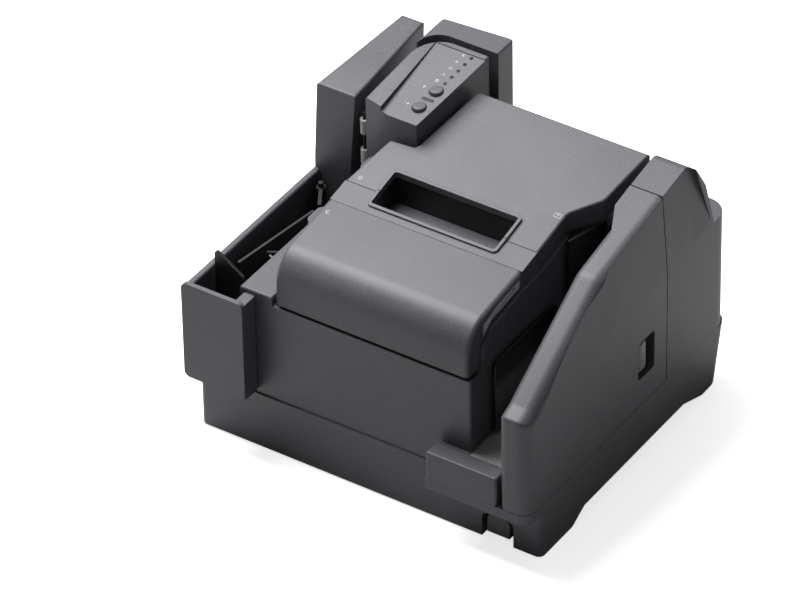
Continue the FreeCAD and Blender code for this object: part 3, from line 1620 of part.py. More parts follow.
def mid_tower():
    """Tower with the sunk operation panel and a rail that runs round its left and rear."""
    s = size
    body = new_body("mid_tower")
    high = s.rail_rear_height + s.overrun
    front = [(s.mid_left, s.tower_front), (s.mid_step, s.panel_front), (s.panel_right_front, s.panel_front)]
    pad(body, "XY", s.deck_height, high, front + [
        (s.panel_right_rear, s.mid_rear, s.edge_round),
        (s.mid_curve_left, s.mid_rear, s.mid_curve),
    ])
    pad(body, "XY", s.seam_height, s.deck_height, front + [
        (s.panel_right_rear, s.rear_wall),
        (s.mid_left + s.rail_width, s.rear_wall),
    ])
    slope_cut(body, -half, 0, (s.panel_front - s.overrun, s.rail_front_height),
              (s.mid_rear + s.overrun, s.rail_rear_height), high + s.overrun)
    fillet(body, s.edge_round, edges_near(body, [
        ((s.mid_left + s.mid_curve_left) / 2, (s.tower_front + s.mid_curve_y) / 2,
         (s.rail_front_height + s.rail_rear_height) / 2),
    ]))
    rail_inner = s.mid_left + s.mid_rail
    cut(body, "YZ", rail_inner, 0, [
        (s.panel_front - s.overrun, panel_height_at(s.panel_front - s.overrun)),
        (s.panel_step_rear, panel_height_at(s.panel_step_rear)),
        (s.panel_step_rear, high + s.overrun),
        (s.panel_front - s.overrun, high + s.overrun),
    ])
    for x, y in panel_buttons():
        cut(body, "XY", panel_height_at(y) - s.button_depth, high, (x, y, s.button_radius + s.gap))
    for x, y in led_places():
        cut(body, "XY", panel_height_at(y) - s.lens_depth, high, (x, y, s.lens_radius))
    cut(body, "XY", panel_height_at(s.slot_lens_y) - s.lens_depth, high, slot_lens_outline())


def panel_buttons():
    """List the two panel buttons as (x, y)."""
    return [(size.button_x_near, size.button_y_near), (size.button_x_far, size.button_y_far)]


def led_places():
    """List the five indicator lenses as (x, y)."""
    s = size
    return [(s.lens_x + s.lens_drift * i, s.lens_y + s.lens_pitch * i) for i in range(5)]


def slot_lens_outline():
    """Give the outline of the long lens between the two buttons."""
    s = size
    dx = s.slot_lens_length / 2
    dy = s.slot_lens_width / 2
    x = s.slot_lens_x
    y = s.slot_lens_y
    return round_box(x - dx, x + dx, y - dy, y + dy, dy * ROUND_SHARE)


def push_buttons():
    """Round keys of the operation panel, with crowned tops."""
    s = size
    for label, (x, y) in zip(("near_button", "far_button"), panel_buttons()):
        body = new_body(label)
        top = panel_height_at(y) + s.button_rise
        low = panel_height_at(y) - s.button_depth + s.button_travel + s.gap
        pad(body, "XY", low, top, (x, y, s.button_radius))
        fillet(body, s.button_rise * CROWN_SHARE, edges_near(body, [(x - s.button_radius, y, top)]))


def panel_lenses():
    """Clear lenses of the five lamps and the long one, sunk flush in the panel."""
    s = size
    body = new_body("panel_lenses")
    for x, y in led_places():
        pad(body, "XY", panel_height_at(y) - s.lens_depth, panel_height_at(y), (x, y, s.lens_radius))
    pad(body, "XY", panel_height_at(s.slot_lens_y) - s.lens_depth,
        panel_height_at(s.slot_lens_y), slot_lens_outline())


def rear_tower():
    """Tower behind the panel whose front curves round the document path."""
    s = size
    body = new_body("rear_tower")
    left = s.rear_tower_left
    pad(body, "XY", s.deck_height, s.rail_rear_height, [
        (left, s.rear_tower_curve_y),
        (s.rear_tower_right, s.rear_tower_curve_y),
        (s.rear_tower_right, s.rear_tower_rear, s.wall),
        (left, s.rear_tower_left_rear, s.wall),
    ])
    cut(body, "XY", s.deck_height - s.overrun, s.rail_rear_height + s.overrun, [
        (left + s.overrun, s.rear_tower_curve_y - s.overrun),
        (s.rear_tower_right + s.overrun, s.rear_tower_curve_y - s.overrun),
        (s.rear_tower_right + s.overrun, s.rear_tower_front),
        (left + s.overrun, s.rear_tower_front, s.rear_tower_curve * BLUNT_SHARE),
    ])
    middle = (left + s.rear_tower_right) / 2
    back = (s.rear_tower_rear + s.rear_tower_left_rear) / 2
    fillet(body, s.edge_round, edges_near(body, [(middle, back, s.rail_rear_height)]))


def rear_deck():
    """Low rear housing with the deep document track that runs round behind the covers."""
    s = size
    body = new_body("rear_deck")
    pad(body, "XY", s.seam_height, s.deck_height, [
        (-half, s.rear_wall),
        (s.rear_cover_left, s.rear_wall),
        (s.rear_cover_left, s.deck_rear),
        (-half, s.deck_rear, s.rear_corner),
    ])
    fillet(body, s.edge_round, edges_near(body, [
        (0, s.deck_rear, s.deck_height), (-half, (s.rear_wall + s.deck_rear) / 2, s.deck_height)]))
    path_left = s.left_tower_right
    path_right = s.rear_cover_left - s.gap
    cut(body, "XY", s.track_floor, s.deck_height + s.overrun, [
        (s.rear_right, s.rear_wall - s.overrun),
        (path_right, s.rear_wall - s.overrun),
        (path_right, s.rear_tower_front, s.track_curve + s.track_width),
        (path_left, s.rear_tower_front, s.track_curve + s.track_width),
        (path_left, s.rear_wall - s.overrun),
        (s.mid_left, s.rear_wall - s.overrun),
        (s.mid_left, s.mid_rear, s.track_curve / 2),
        (s.rear_right, s.mid_rear, s.track_curve / 2),
    ])


def path_floor():
    """Floor of the slot between the left and middle towers, with the lower bearing of the exit rollers."""
    s = size
    body = new_body("path_floor")
    pad(body, "XY", s.seam_height, s.track_floor, box(
        s.left_tower_right, s.mid_left, s.tower_front, s.rear_wall))
    cut(body, "XY", s.seam_height - s.overrun, s.track_floor + s.overrun, (
        s.exit_x, s.exit_y, s.exit_shaft + s.play))


def exit_rollers():
    """White rollers on an upright shaft in the slot between the towers."""
    s = size
    rod("exit_shaft", "z", s.seam_height + s.gap, s.exit_shaft_top, s.exit_x, s.exit_y, s.exit_shaft)
    body = new_body("exit_rollers")
    for low in (s.exit_low - s.exit_mid + s.exit_low, s.exit_low, s.exit_mid):
        pad(body, "XY", low, low + s.exit_tall, (s.exit_x, s.exit_y, s.exit_radius))
        cut(body, "XY", low - s.overrun, low + s.exit_tall + s.overrun, (s.exit_x, s.exit_y, s.exit_shaft))


# Feeder

def feeder_tray():
    """Low block across the mouth of the feeder."""
    s = size
    body = new_body("feeder_tray")
    pad(body, "XY", s.seam_height, s.tray_height, [
        (s.tray_left, 0, s.tray_round), (s.tray_right, 0, s.tray_round),
        (s.tray_right, s.tray_depth), (s.tray_left, s.tray_depth)])
    fillet(body, s.edge_round, edges_near(body, [((s.tray_left + s.tray_right) / 2, 0, s.tray_height)]))
    pad(body, "XY", s.seam_height, s.tray_height - s.tray_round, box(
        s.tray_left + s.tray_round, s.body_right, s.tray_depth - s.overrun, s.body_front))


def feeder_floor():
    """Light grey floor of the document path, from the mouth to behind the feed roller."""
    s = size
    body = new_body("feeder_floor")
    cover_edge = s.side_jog_x - s.gap
    pad(body, "XY", s.seam_height, s.track_floor, [
        (s.body_right, s.tray_depth),
        (s.track_right, s.tray_depth),
        (s.track_right, s.side_jog_y - s.side_jog_ramp - s.wall),
        (cover_edge, s.side_jog_y - s.wall),
        (cover_edge, s.rear_wall),
        (s.rear_right, s.rear_wall),
        (s.rear_right, s.flare_rear),
        (s.flare_x, s.flare_y),
        (s.body_right, s.flare_front),
    ])
    cut(body, "XY", s.seam_height - s.overrun, s.track_floor + s.overrun, (
        s.feed_x, s.feed_y, s.feed_shaft + s.play))


def hopper_plate():
    """Sprung sheet that pushes the stack of cheques to the right, with its two guide stems."""
    s = size
    body = new_body("hopper_plate")
    low = s.track_floor + s.hopper_lift
    pad(body, "YZ", s.hopper_x, s.hopper_x + s.hopper_thick, [
        (s.hopper_front, low, s.plate_corner),
        (s.hopper_front, s.hopper_top, s.plate_corner),
        (s.hopper_rear, s.hopper_top, s.plate_corner),
        (s.hopper_rear, low),
    ])
    stems = new_body("hopper_stems")
    start = s.hopper_x - s.hopper_travel - s.side_wall - s.wall
    places = hopper_stem_places()
    pad(stems, "YZ", start, s.hopper_x, *[(y, z, s.hopper_stem) for y, z in places])
    pad(stems, "YZ", s.hopper_x + s.hopper_thick, s.hopper_x + s.hopper_thick + s.sheet / 2, (
        places[1][0], s.hopper_top - s.plate_corner, s.hopper_stem))


def hopper_stem_places():
    """List the guide stems of the hopper plate as (y, z)."""
    s = size
    z = s.track_floor + s.plate_corner * WINDOW_SET_SHARE
    return [(s.hopper_front + s.stem_inset, z), (s.hopper_front + s.stem_inset + s.stem_pitch, z)]


def guide_plate():
    """Slanting sheet that leads the cheques from the stack to the feed roller."""
    s = size
    body = new_body("guide_plate")
    pad(body, "XY", s.track_floor, s.guide_top, plate_outline(
        (s.guide_front_x, s.guide_front_y), (s.guide_rear_x, s.guide_rear_y), s.guide_thick))


def feed_roller():
    """Rubber tyres on an upright shaft beside the path."""
    s = size
    high = s.feed_high + s.feed_lug / 2
    rod("feed_shaft", "z", s.seam_height + s.gap, high, s.feed_x, s.feed_y, s.feed_shaft)
    body = new_body("feed_tyres")
    tall = (s.feed_high - s.feed_low - s.wall) / 2
    for low in (s.feed_low, s.feed_high - tall):
        pad(body, "XY", low, low + tall, (s.feed_x, s.feed_y, s.feed_radius))
        cut(body, "XY", low - s.overrun, low + tall + s.overrun, (s.feed_x, s.feed_y, s.feed_shaft))


# Side and rear covers

def lean_cut(body, sections):
    """Lean the outer face inwards above a crease; a section is (y, crease z, top z, lean)."""
    s = size
    out = half + s.overrun
    cut_loft(body, [
        (y, [(half, crease), (out, crease), (out, top + s.overrun), (half - lean, top + s.overrun)])
        for y, crease, top, lean in sections])


def side_cover():
    """Swinging scanner cover at the right front, with a creased outer face and a finger recess."""
    s = size
    body = new_body("side_cover")
    low = s.seam_height + s.gap
    pad(body, "YZ", s.side_left, half, [
        (0, low),
        (0, s.side_front_height, s.side_round),
        (s.side_nose, s.side_nose_height, s.lip_corner),
        (s.side_knee, s.side_knee_height, s.lip_corner * 2),
        (s.side_rear, s.side_rear_height),
        (s.side_rear, low),
    ])
    pad(body, "XY", low, s.side_rear_height + s.overrun, [
        (s.side_left + s.wall, s.side_jog_y - s.side_jog_ramp - s.wall),
        (s.side_left, s.side_jog_y - s.side_jog_ramp),
        (s.side_jog_x, s.side_jog_y),
        (s.side_jog_x, s.side_rear),
        (s.side_left + s.wall, s.side_rear),
    ])
    knee = (s.side_knee, s.side_knee_height)
    rear = (s.side_rear, s.side_rear_height)
    past = along(knee, rear, SKIRT_SHARE)
    slope_cut(body, s.side_jog_x - s.overrun, half + s.overrun, knee, past, s.side_rear_height + s.wall)
    middle = (low + s.side_front_height) / 2
    fillet(body, s.pin_y - s.overrun, edges_near(body, [(s.side_left, 0, middle)]))
    fillet(body, s.lip_corner, edges_near(body, [(half, 0, middle)]))
    lean_cut(body, [
        (s.side_nose + s.wall, s.side_nose_height - s.wall, s.side_nose_height, s.lean * LEAN_START_SHARE),
        (s.crease_front_y, s.crease_front_z, s.side_ramp_height, s.lean * LEAN_MIDDLE_SHARE),
        (s.crease_mid_y, s.crease_mid_z, s.side_knee_height + s.lean, s.lean),
        (s.side_rear + s.overrun, s.crease_rear_z, s.side_rear_height, s.lean),
    ])
    cut(body, "YZ", half - s.recess_depth, half + s.overrun, round_box(
        s.recess_front, s.recess_rear, s.recess_low, s.recess_high, s.side_round))
    lever_y = s.recess_front + s.release_pin + s.gap * 2
    cut(body, "XY", s.recess_low - s.wall, s.recess_high + s.wall, (
        release_x(), lever_y, s.release_pin + s.play))
    cut(body, "XY", low - s.overrun, low + s.pin_length, (s.pin_x, s.pin_y, s.pin_radius + s.play))
    cut(body, "YZ", s.side_jog_x - s.overrun, s.side_jog_x + s.sensor_thick, scan_window())


def release_x():
    """Give the x of the release lever's upright pivot."""
    return half - size.recess_depth + size.release_pin * 2


def scan_window():
    """Give the (y, z) outline of the scan bar in the inner face of the side cover."""
    s = size
    rear = s.side_rear - s.wall
    return box(rear - s.sensor_length / 2, rear, s.track_floor + s.wall, s.track_floor + s.sensor_height)


def scan_bar():
    """Image sensor bar with its window, flush with the cover's inner face."""
    s = size
    body = new_body("scan_bar")
    pad(body, "YZ", s.side_jog_x + s.play, s.side_jog_x + s.sensor_thick, scan_window())


def release_lever():
    """Thumb lever in the recess of the side cover, on an upright pin."""
    s = size
    body = new_body("release_lever")
    pin = (release_x(), s.recess_front + s.release_pin + s.gap * 2)
    low = s.recess_low + s.side_round
    high = s.recess_high - s.side_round
    sink = s.wall - s.gap
    pad(body, "XY", s.recess_low - sink, s.recess_high + sink, (pin[0], pin[1], s.release_pin))
    front = pin[1] - s.release_pin
    rear = front + s.release_length
    pad(body, "XY", low, high, [
        (pin[0] - s.release_pin, front),
        (pin[0], front),
        (pin[0] + s.release_thick, pin[1]),
        (pin[0] + s.release_thick, rear, s.edge_round),
        (pin[0], rear),
        (pin[0] - s.release_pin, pin[1] + s.release_thick),
    ])


def side_cover_pin():
    """Steel pin that stands up from the lip and carries the side cover."""
    s = size
    rod("side_cover_pin", "z", s.seam_height, s.seam_height + s.pin_length, s.pin_x, s.pin_y, s.pin_radius)


def rear_cover():
    """Fixed cover at the right rear, its top falling to the low rear deck."""
    s = size
    body = new_body("rear_cover")
    front = s.side_rear + s.cover_gap
    pad(body, "YZ", s.rear_cover_left, half, [
        (front, s.seam_height),
        (front, s.side_rear_height),
        (s.rear_cover_flat, s.rear_cover_top, s.lip_corner),
        (s.rear_cover_break, s.rear_cover_break_z),
        (s.deck_front, s.deck_height + s.lip_corner, s.lip_corner),
        (s.deck_front + s.wall, s.deck_height),
        (s.deck_rear, s.deck_height),
        (s.deck_rear, s.seam_height),
    ])
    middle = (s.seam_height + s.deck_height) / 2
    fillet(body, s.rear_cover_corner, edges_near(body, [(half, s.deck_rear, middle)]))
    lean_cut(body, [
        (front - s.overrun, s.crease_rear_z, s.side_rear_height, s.lean),
        (s.rear_cover_flat, s.crease_rear_z + s.lean, s.rear_cover_top, s.lean),
        (s.crease_back_y, s.crease_back_z, s.crease_back_z + s.overrun, s.lean * LEAN_START_SHARE),
    ])


def magnetic_head():
    """Magnetic reading head in the inner wall of the path."""
    s = size
    body = new_body("magnetic_head")
    y = s.flare_rear + s.head_radius * EASE_SHARE
    pad(body, "XY", s.track_floor + s.wall, s.track_floor + s.wall + s.head_radius * EASE_SHARE, [
        (s.rear_right, y - s.head_radius / 2),
        (s.rear_right, y + s.head_radius / 2),
        (s.rear_right + s.play + s.edge_round, y + s.head_radius / 4),
        (s.rear_right + s.play + s.edge_round, y - s.head_radius / 4),
    ])


# Build every sub-part, check it and write it

for make in (
    lower_case, rubber_feet, case_screws, power_button, rear_connectors, main_board, main_frame,
    centre_housing, roll_cover, side_label, platen_roller, platen_shaft, gear_train, drive_motor,
    print_head, head_springs, cutter_frame, tear_blade, cutter_cover, slot_walls, top_cover, top_cover_pins,
    pocket_case, pocket_stopper, pocket_divider, pocket_spring_wire, sorting_gate,
    left_tower, mid_tower, push_buttons, panel_lenses, rear_tower, rear_deck, path_floor, exit_rollers,
    feeder_tray, feeder_floor, hopper_plate, guide_plate, feed_roller,
    side_cover, scan_bar, release_lever, side_cover_pin, rear_cover, magnetic_head,
):
    make()

doc.recompute()
for item in doc.Objects:
    if "Invalid" in item.State or "Error" in item.State:
        raise RuntimeError(f"{item.Label} failed: {item.State}")
    if item.TypeId in ("PartDesign::Pocket", "PartDesign::SubtractiveLoft"):
        if item.Shape.Volume >= item.BaseFeature.Shape.Volume:
            raise RuntimeError(f"{item.Label} cuts nothing")
os.makedirs("parts", exist_ok=True)
for label, part in parts.items():
    if part.Shape.isNull() or not part.Shape.isValid():
        raise RuntimeError(f"{label} has no valid shape")
    part.Shape.exportStep(os.path.join("parts", f"{label}.step"))
print(f"{len(parts)} sub-parts written")
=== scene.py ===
"""Looks of a desktop cheque scanner with a receipt printer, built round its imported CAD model."""
import json
import logging
import math
from dataclasses import dataclass
from enum import Enum
from typing import Callable, Iterable, Sequence

import bpy
import numpy as np
from mathutils import Matrix, Vector

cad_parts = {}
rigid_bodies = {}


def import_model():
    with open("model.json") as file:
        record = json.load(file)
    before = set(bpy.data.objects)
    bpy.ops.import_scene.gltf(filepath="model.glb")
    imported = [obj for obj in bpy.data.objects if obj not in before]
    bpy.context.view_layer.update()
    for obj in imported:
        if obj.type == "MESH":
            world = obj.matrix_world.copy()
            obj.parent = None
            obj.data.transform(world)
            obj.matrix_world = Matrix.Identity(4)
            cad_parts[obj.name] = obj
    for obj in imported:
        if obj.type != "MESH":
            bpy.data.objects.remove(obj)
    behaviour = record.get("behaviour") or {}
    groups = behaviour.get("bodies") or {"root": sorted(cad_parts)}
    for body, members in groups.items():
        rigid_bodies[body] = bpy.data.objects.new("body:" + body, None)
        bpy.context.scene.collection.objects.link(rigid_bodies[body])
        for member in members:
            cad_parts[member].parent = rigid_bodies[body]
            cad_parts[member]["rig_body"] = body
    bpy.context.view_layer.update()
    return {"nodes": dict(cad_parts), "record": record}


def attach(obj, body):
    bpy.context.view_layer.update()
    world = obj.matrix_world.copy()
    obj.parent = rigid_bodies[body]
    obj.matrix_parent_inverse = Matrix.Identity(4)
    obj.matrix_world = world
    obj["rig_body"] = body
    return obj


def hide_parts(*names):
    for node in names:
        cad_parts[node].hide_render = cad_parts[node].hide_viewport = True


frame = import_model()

LOG = logging.getLogger("cheque_scanner")
MM = 0.001
HALF_DEPTH = 109.0
IMAGE_WIDTH = 800
SENSOR_MM = 36.0
BEVEL_SAMPLES = 6
NOISE_ROUGHNESS = 0.55
SOFT_DETAIL = 1.0
NEARLY_ALONG = 0.9
UP = np.array([0.0, 0.0, 1.0])
BLACK = (0.0, 0.0, 0.0, 1.0)
WHITE = (1.0, 1.0, 1.0, 1.0)


class Body(Enum):
    """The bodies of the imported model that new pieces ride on."""

    BASE = "base"
    ROLL_COVER = "roll_cover"
    TOP_COVER = "top_cover"
    RELEASE_LEVER = "release_lever"
    POWER_BUTTON = "power_button"
    FEED_ROLLER = "feed_roller"


class Slot(Enum):
    """The material slots of the record."""

    CASE = "case_plastic"
    DARK = "dark_plastic"
    LIGHT = "light_plastic"
    STEEL = "steel"
    BRASS = "brass"
    RUBBER = "rubber"
    ALUMINIUM = "aluminium"
    BOARD = "board"
    LENS = "lens"
    FILM = "film"


# Colours and nodes


def linear(hex_code: str) -> tuple[float, float, float, float]:
    """Turn an sRGB hex colour into the linear colour that a shader takes.

    Args:
        hex_code: the colour as "#rrggbb".

    Returns:
        Red, green, blue and alpha, where c is c / 12.92 up to 0.04045 and ((c + 0.055) / 1.055) ** 2.4 above.
    """
    channels = np.array([int(hex_code[i:i + 2], 16) for i in (1, 3, 5)]) / 255
    low = channels / 12.92
    high = ((channels + 0.055) / 1.055) ** 2.4
    red, green, blue = np.where(channels <= 0.04045, low, high)
    return float(red), float(green), float(blue), 1.0


def add_node(tree: bpy.types.NodeTree, kind: str, inputs: dict | None = None, **settings) -> bpy.types.Node:
    """Add a node to a tree.

    Args:
        tree: the tree that gets the node.
        kind: Blender's name for the type of node.
        inputs: a value or an output socket for each input, by name or number.
        settings: the node's own settings.

    Returns:
        The new node.
    """
    node = tree.nodes.new(kind)
    for name, value in settings.items():
        setattr(node, name, value)
    for key, value in (inputs or {}).items():
        if isinstance(value, bpy.types.NodeSocket):
            tree.links.new(value, node.inputs[key])
        else:
            node.inputs[key].default_value = value
    return node


def per_metre(millimetres: float) -> float:
    """Give the scale of a pattern whose features are this many millimetres apart."""
    return 1 / (millimetres * MM)


@dataclass(frozen=True)
class Finish:
    """What every finish has: a name, a colour and a typical gloss."""

    name: str
    colour: str
    roughness: float
    metallic: float = 0.0
    edge_mm: float = 0.35

    def material(self) -> bpy.types.Material:
        """Make the material, or give the one that is there already.

        Returns:
            The material, whose surface is a Principled BSDF.
        """
        found = bpy.data.materials.get(self.name)
        if found:
            return found
        made = bpy.data.materials.new(self.name)
        made.use_nodes = True
        made.diffuse_color = linear(self.colour)
        tree = made.node_tree
        tree.nodes.clear()
        shader = add_node(tree, "ShaderNodeBsdfPrincipled", {
            "Base Color": linear(self.colour), "Roughness": self.roughness, "Metallic": self.metallic})
        add_node(tree, "ShaderNodeOutputMaterial", {"Surface": shader.outputs["BSDF"]})
        self.dress(tree, shader)
        return made

    def dress(self, tree: bpy.types.NodeTree, shader: bpy.types.Node) -> None:
        """Add the detail of the finish, which a plain one has none of."""

    def place(self, tree: bpy.types.NodeTree, stretch: Sequence[float] = (1, 1, 1)) -> bpy.types.NodeSocket:
        """Give the piece's own coordinates in metres, stretched along each axis."""
        where = add_node(tree, "ShaderNodeTexCoord").outputs["Object"]
        return add_node(tree, "ShaderNodeMapping", {"Vector": where, "Scale": stretch}).outputs["Vector"]

    def noise(self, tree: bpy.types.NodeTree, where: bpy.types.NodeSocket, size_mm: float,
              detail: float = 2.0) -> bpy.types.NodeSocket:
        """Give a noise between 0 and 1 whose grains are size_mm apart."""
        return add_node(tree, "ShaderNodeTexNoise", {
            "Vector": where, "Scale": per_metre(size_mm), "Detail": detail,
            "Roughness": NOISE_ROUGHNESS}).outputs["Fac"]

    def spread(self, tree: bpy.types.NodeTree, value: bpy.types.NodeSocket, low: float,
               high: float, start: float = 0.3, end: float = 0.7) -> bpy.types.NodeSocket:
        """Map start to end of a value onto low to high."""
        return add_node(tree, "ShaderNodeMapRange", {
            "Value": value, "From Min": start, "From Max": end, "To Min": low,
            "To Max": high}).outputs["Result"]

    def tint(self, tree: bpy.types.NodeTree, share: bpy.types.NodeSocket, dark: str,
             light: str) -> bpy.types.NodeSocket:
        """Blend two colours by a share between 0 and 1."""
        return add_node(tree, "ShaderNodeMix", {0: share, 6: linear(dark), 7: linear(light)},
                        data_type="RGBA").outputs[2]

    def relief(self, tree: bpy.types.NodeTree, height: bpy.types.NodeSocket,
               depth_mm: float) -> bpy.types.NodeSocket:
        """Give the normal of a surface with worn edges and a relief.

        Args:
            tree: the material's tree.
            height: the relief, between 0 and 1.
            depth_mm: how deep the relief is.

        Returns:
            The normal: the edges are rounded by edge_mm, and the relief lies on that.
        """
        edge = add_node(tree, "ShaderNodeBevel", {"Radius": self.edge_mm * MM}, samples=BEVEL_SAMPLES)
        return add_node(tree, "ShaderNodeBump", {
            "Height": height, "Distance": depth_mm * MM, "Normal": edge.outputs["Normal"]}).outputs["Normal"]


@dataclass(frozen=True)
class SparkErodedAbs(Finish):
    """ABS moulded against a spark-eroded tool: a fine even grain that breaks up every highlight."""

    dark: str = "#48484d"
    light: str = "#5c5b61"
    grain_mm: float = 0.75
    grain_detail: float = 1.5
    depth_mm: float = 0.035
    cloud_mm: float = 34.0
    cloud_share: float = 0.2
    tint_span: tuple[float, float] = (0.35, 0.65)
    gloss_change: float = 0.05
    refraction: float = 1.53

    def dress(self, tree: bpy.types.NodeTree, shader: bpy.types.Node) -> None:
        """Add the grain. The real grain is about 0.15 mm, drawn coarser so that it shows.

        Args:
            tree: the material's tree.
            shader: its Principled BSDF.
        """
        where = self.place(tree)
        grain = self.noise(tree, where, self.grain_mm, self.grain_detail)
        cloud = self.noise(tree, where, self.cloud_mm, SOFT_DETAIL)
        mixed = add_node(tree, "ShaderNodeMix", {0: self.cloud_share, 2: grain, 3: cloud},
                         data_type="FLOAT").outputs[0]
        share = self.spread(tree, mixed, 0.0, 1.0, *self.tint_span)
        gloss = self.spread(tree, grain, self.roughness - self.gloss_change,
                            self.roughness + self.gloss_change)
        tree.links.new(self.tint(tree, share, self.dark, self.light), shader.inputs["Base Color"])
        tree.links.new(gloss, shader.inputs["Roughness"])
        tree.links.new(self.relief(tree, grain, self.depth_mm), shader.inputs["Normal"])
        shader.inputs["IOR"].default_value = self.refraction


@dataclass(frozen=True)
class Acetal(Finish):
    """Acetal: a waxy light plastic, almost smooth, with a soft gloss."""

    warm: str = "#b4b2ae"
    cool: str = "#c0bfbd"
    cloud_mm: float = 9.0
    peel_mm: float = 1.6
    depth_mm: float = 0.01
    refraction: float = 1.48

    def dress(self, tree: bpy.types.NodeTree, shader: bpy.types.Node) -> None:
        """Add the faint clouding and the orange peel of a polished tool.

        Args:
            tree: the material's tree.
            shader: its Principled BSDF.
        """
        where = self.place(tree)
        cloud = self.spread(tree, self.noise(tree, where, self.cloud_mm), 0, 1)
        peel = self.noise(tree, where, self.peel_mm)
        tree.links.new(self.tint(tree, cloud, self.warm, self.cool), shader.inputs["Base Color"])
        tree.links.new(self.relief(tree, peel, self.depth_mm), shader.inputs["Normal"])
        shader.inputs["IOR"].default_value = self.refraction


@dataclass(frozen=True)
class BrushedMetal(Finish):
    """Sheet or bar drawn through rollers: fine lines that run one way."""

    dark: str = "#8f9194"
    light: str = "#b9bbbd"
    stretch: tuple[float, float, float] = (0.06, 1.0, 1.0)
    line_mm: float = 0.5
    line_detail: float = 3.0
    depth_mm: float = 0.01
    smoother: float = 0.08
    rougher: float = 0.1

    def dress(self, tree: bpy.types.NodeTree, shader: bpy.types.Node) -> None:
        """Add the drawn lines. Real ones are about 0.05 mm apart, drawn coarser so that they show.

        Args:
            tree: the material's tree.
            shader: its Principled BSDF.
        """
        line = self.noise(tree, self.place(tree, self.stretch), self.line_mm, self.line_detail)
        share = self.spread(tree, line, 0, 1)
        gloss = self.spread(tree, line, self.roughness - self.smoother, self.roughness + self.rougher)
        tree.links.new(self.tint(tree, share, self.dark, self.light), shader.inputs["Base Color"])
        tree.links.new(gloss, shader.inputs["Roughness"])
        tree.links.new(self.relief(tree, line, self.depth_mm), shader.inputs["Normal"])


@dataclass(frozen=True)
class GroundRubber(Finish):
    """Synthetic rubber ground to size: dull, with a fine tooth."""

    dark: str = "#19191a"
    light: str = "#29292b"
    tooth_mm: float = 0.8
    tooth_detail: float = 4.0
    depth_mm: float = 0.06

    def dress(self, tree: bpy.types.NodeTree, shader: bpy.types.Node) -> None:
        """Add the ground tooth, drawn coarser than the real one so that it shows.

        Args:
            tree: the material's tree.
            shader: its Principled BSDF.
        """
        tooth = self.noise(tree, self.place(tree), self.tooth_mm, self.tooth_detail)
        tree.links.new(self.tint(tree, self.spread(tree, tooth, 0, 1), self.dark, self.light),
                       shader.inputs["Base Color"])
        tree.links.new(self.relief(tree, tooth, self.depth_mm), shader.inputs["Normal"])


@dataclass(frozen=True)
class SolderMask(Finish):
    """Circuit board under green lacquer: smooth, with copper tracks that show as lighter lines."""

    dark: str = "#164a30"
    light: str = "#2c7148"
    cell_mm: float = 2.5
    cell_grey: tuple[float, float, float, float] = (0.15, 0.15, 0.15, 1.0)
    track_share: float = 0.06
    depth_mm: float = 0.035

    def dress(self, tree: bpy.types.NodeTree, shader: bpy.types.Node) -> None:
        """Add the tracks: cells of a brick pattern, with the tracks as its thin joints.

        Args:
            tree: the material's tree.
            shader: its Principled BSDF.
        """
        tracks = add_node(tree, "ShaderNodeTexBrick", {
            "Vector": self.place(tree), "Scale": per_metre(self.cell_mm), "Mortar Size": self.track_share,
            "Color1": BLACK, "Color2": self.cell_grey, "Mortar": WHITE}).outputs["Color"]
        share = add_node(tree, "ShaderNodeRGBToBW", {"Color": tracks}).outputs["Val"]
        tree.links.new(self.tint(tree, share, self.dark, self.light), shader.inputs["Base Color"])
        tree.links.new(self.relief(tree, share, self.depth_mm), shader.inputs["Normal"])


@dataclass(frozen=True)
class SmokedLens(Finish):
    """Smoked clear plastic: deep colour under a polished face."""

    wave_mm: float = 3.0
    depth_mm: float = 0.01
    refraction: float = 1.49
    coat: float = 0.6
    coat_roughness: float = 0.05

    def dress(self, tree: bpy.types.NodeTree, shader: bpy.types.Node) -> None:
        """Add the slight wave of a moulded lens and the clear skin over it.

        Args:
            tree: the material's tree.
            shader: its Principled BSDF.
        """
        wave = self.noise(tree, self.place(tree), self.wave_mm)
        tree.links.new(self.relief(tree, wave, self.depth_mm), shader.inputs["Normal"])
        shader.inputs["IOR"].default_value = self.refraction
        shader.inputs["Coat Weight"].default_value = self.coat
        shader.inputs["Coat Roughness"].default_value = self.coat_roughness


@dataclass(frozen=True)
class SilverFilm(Finish):
    """Silver polyester label film, satin, with its adhesive side just visible as a soft wave."""

    dark: str = "#c2c1c4"
    light: str = "#d4d3d6"
    fleck_mm: float = 0.5
    wave_mm: float = 12.0
    depth_mm: float = 0.02

    def dress(self, tree: bpy.types.NodeTree, shader: bpy.types.Node) -> None:
        """Add the satin flecks and the wave.

        Args:
            tree: the material's tree.
            shader: its Principled BSDF.
        """
        where = self.place(tree)
        fleck = self.spread(tree, self.noise(tree, where, self.fleck_mm), 0, 1)
        wave = self.noise(tree, where, self.wave_mm, SOFT_DETAIL)
        tree.links.new(self.tint(tree, fleck, self.dark, self.light), shader.inputs["Base Color"])
        tree.links.new(self.relief(tree, wave, self.depth_mm), shader.inputs["Normal"])


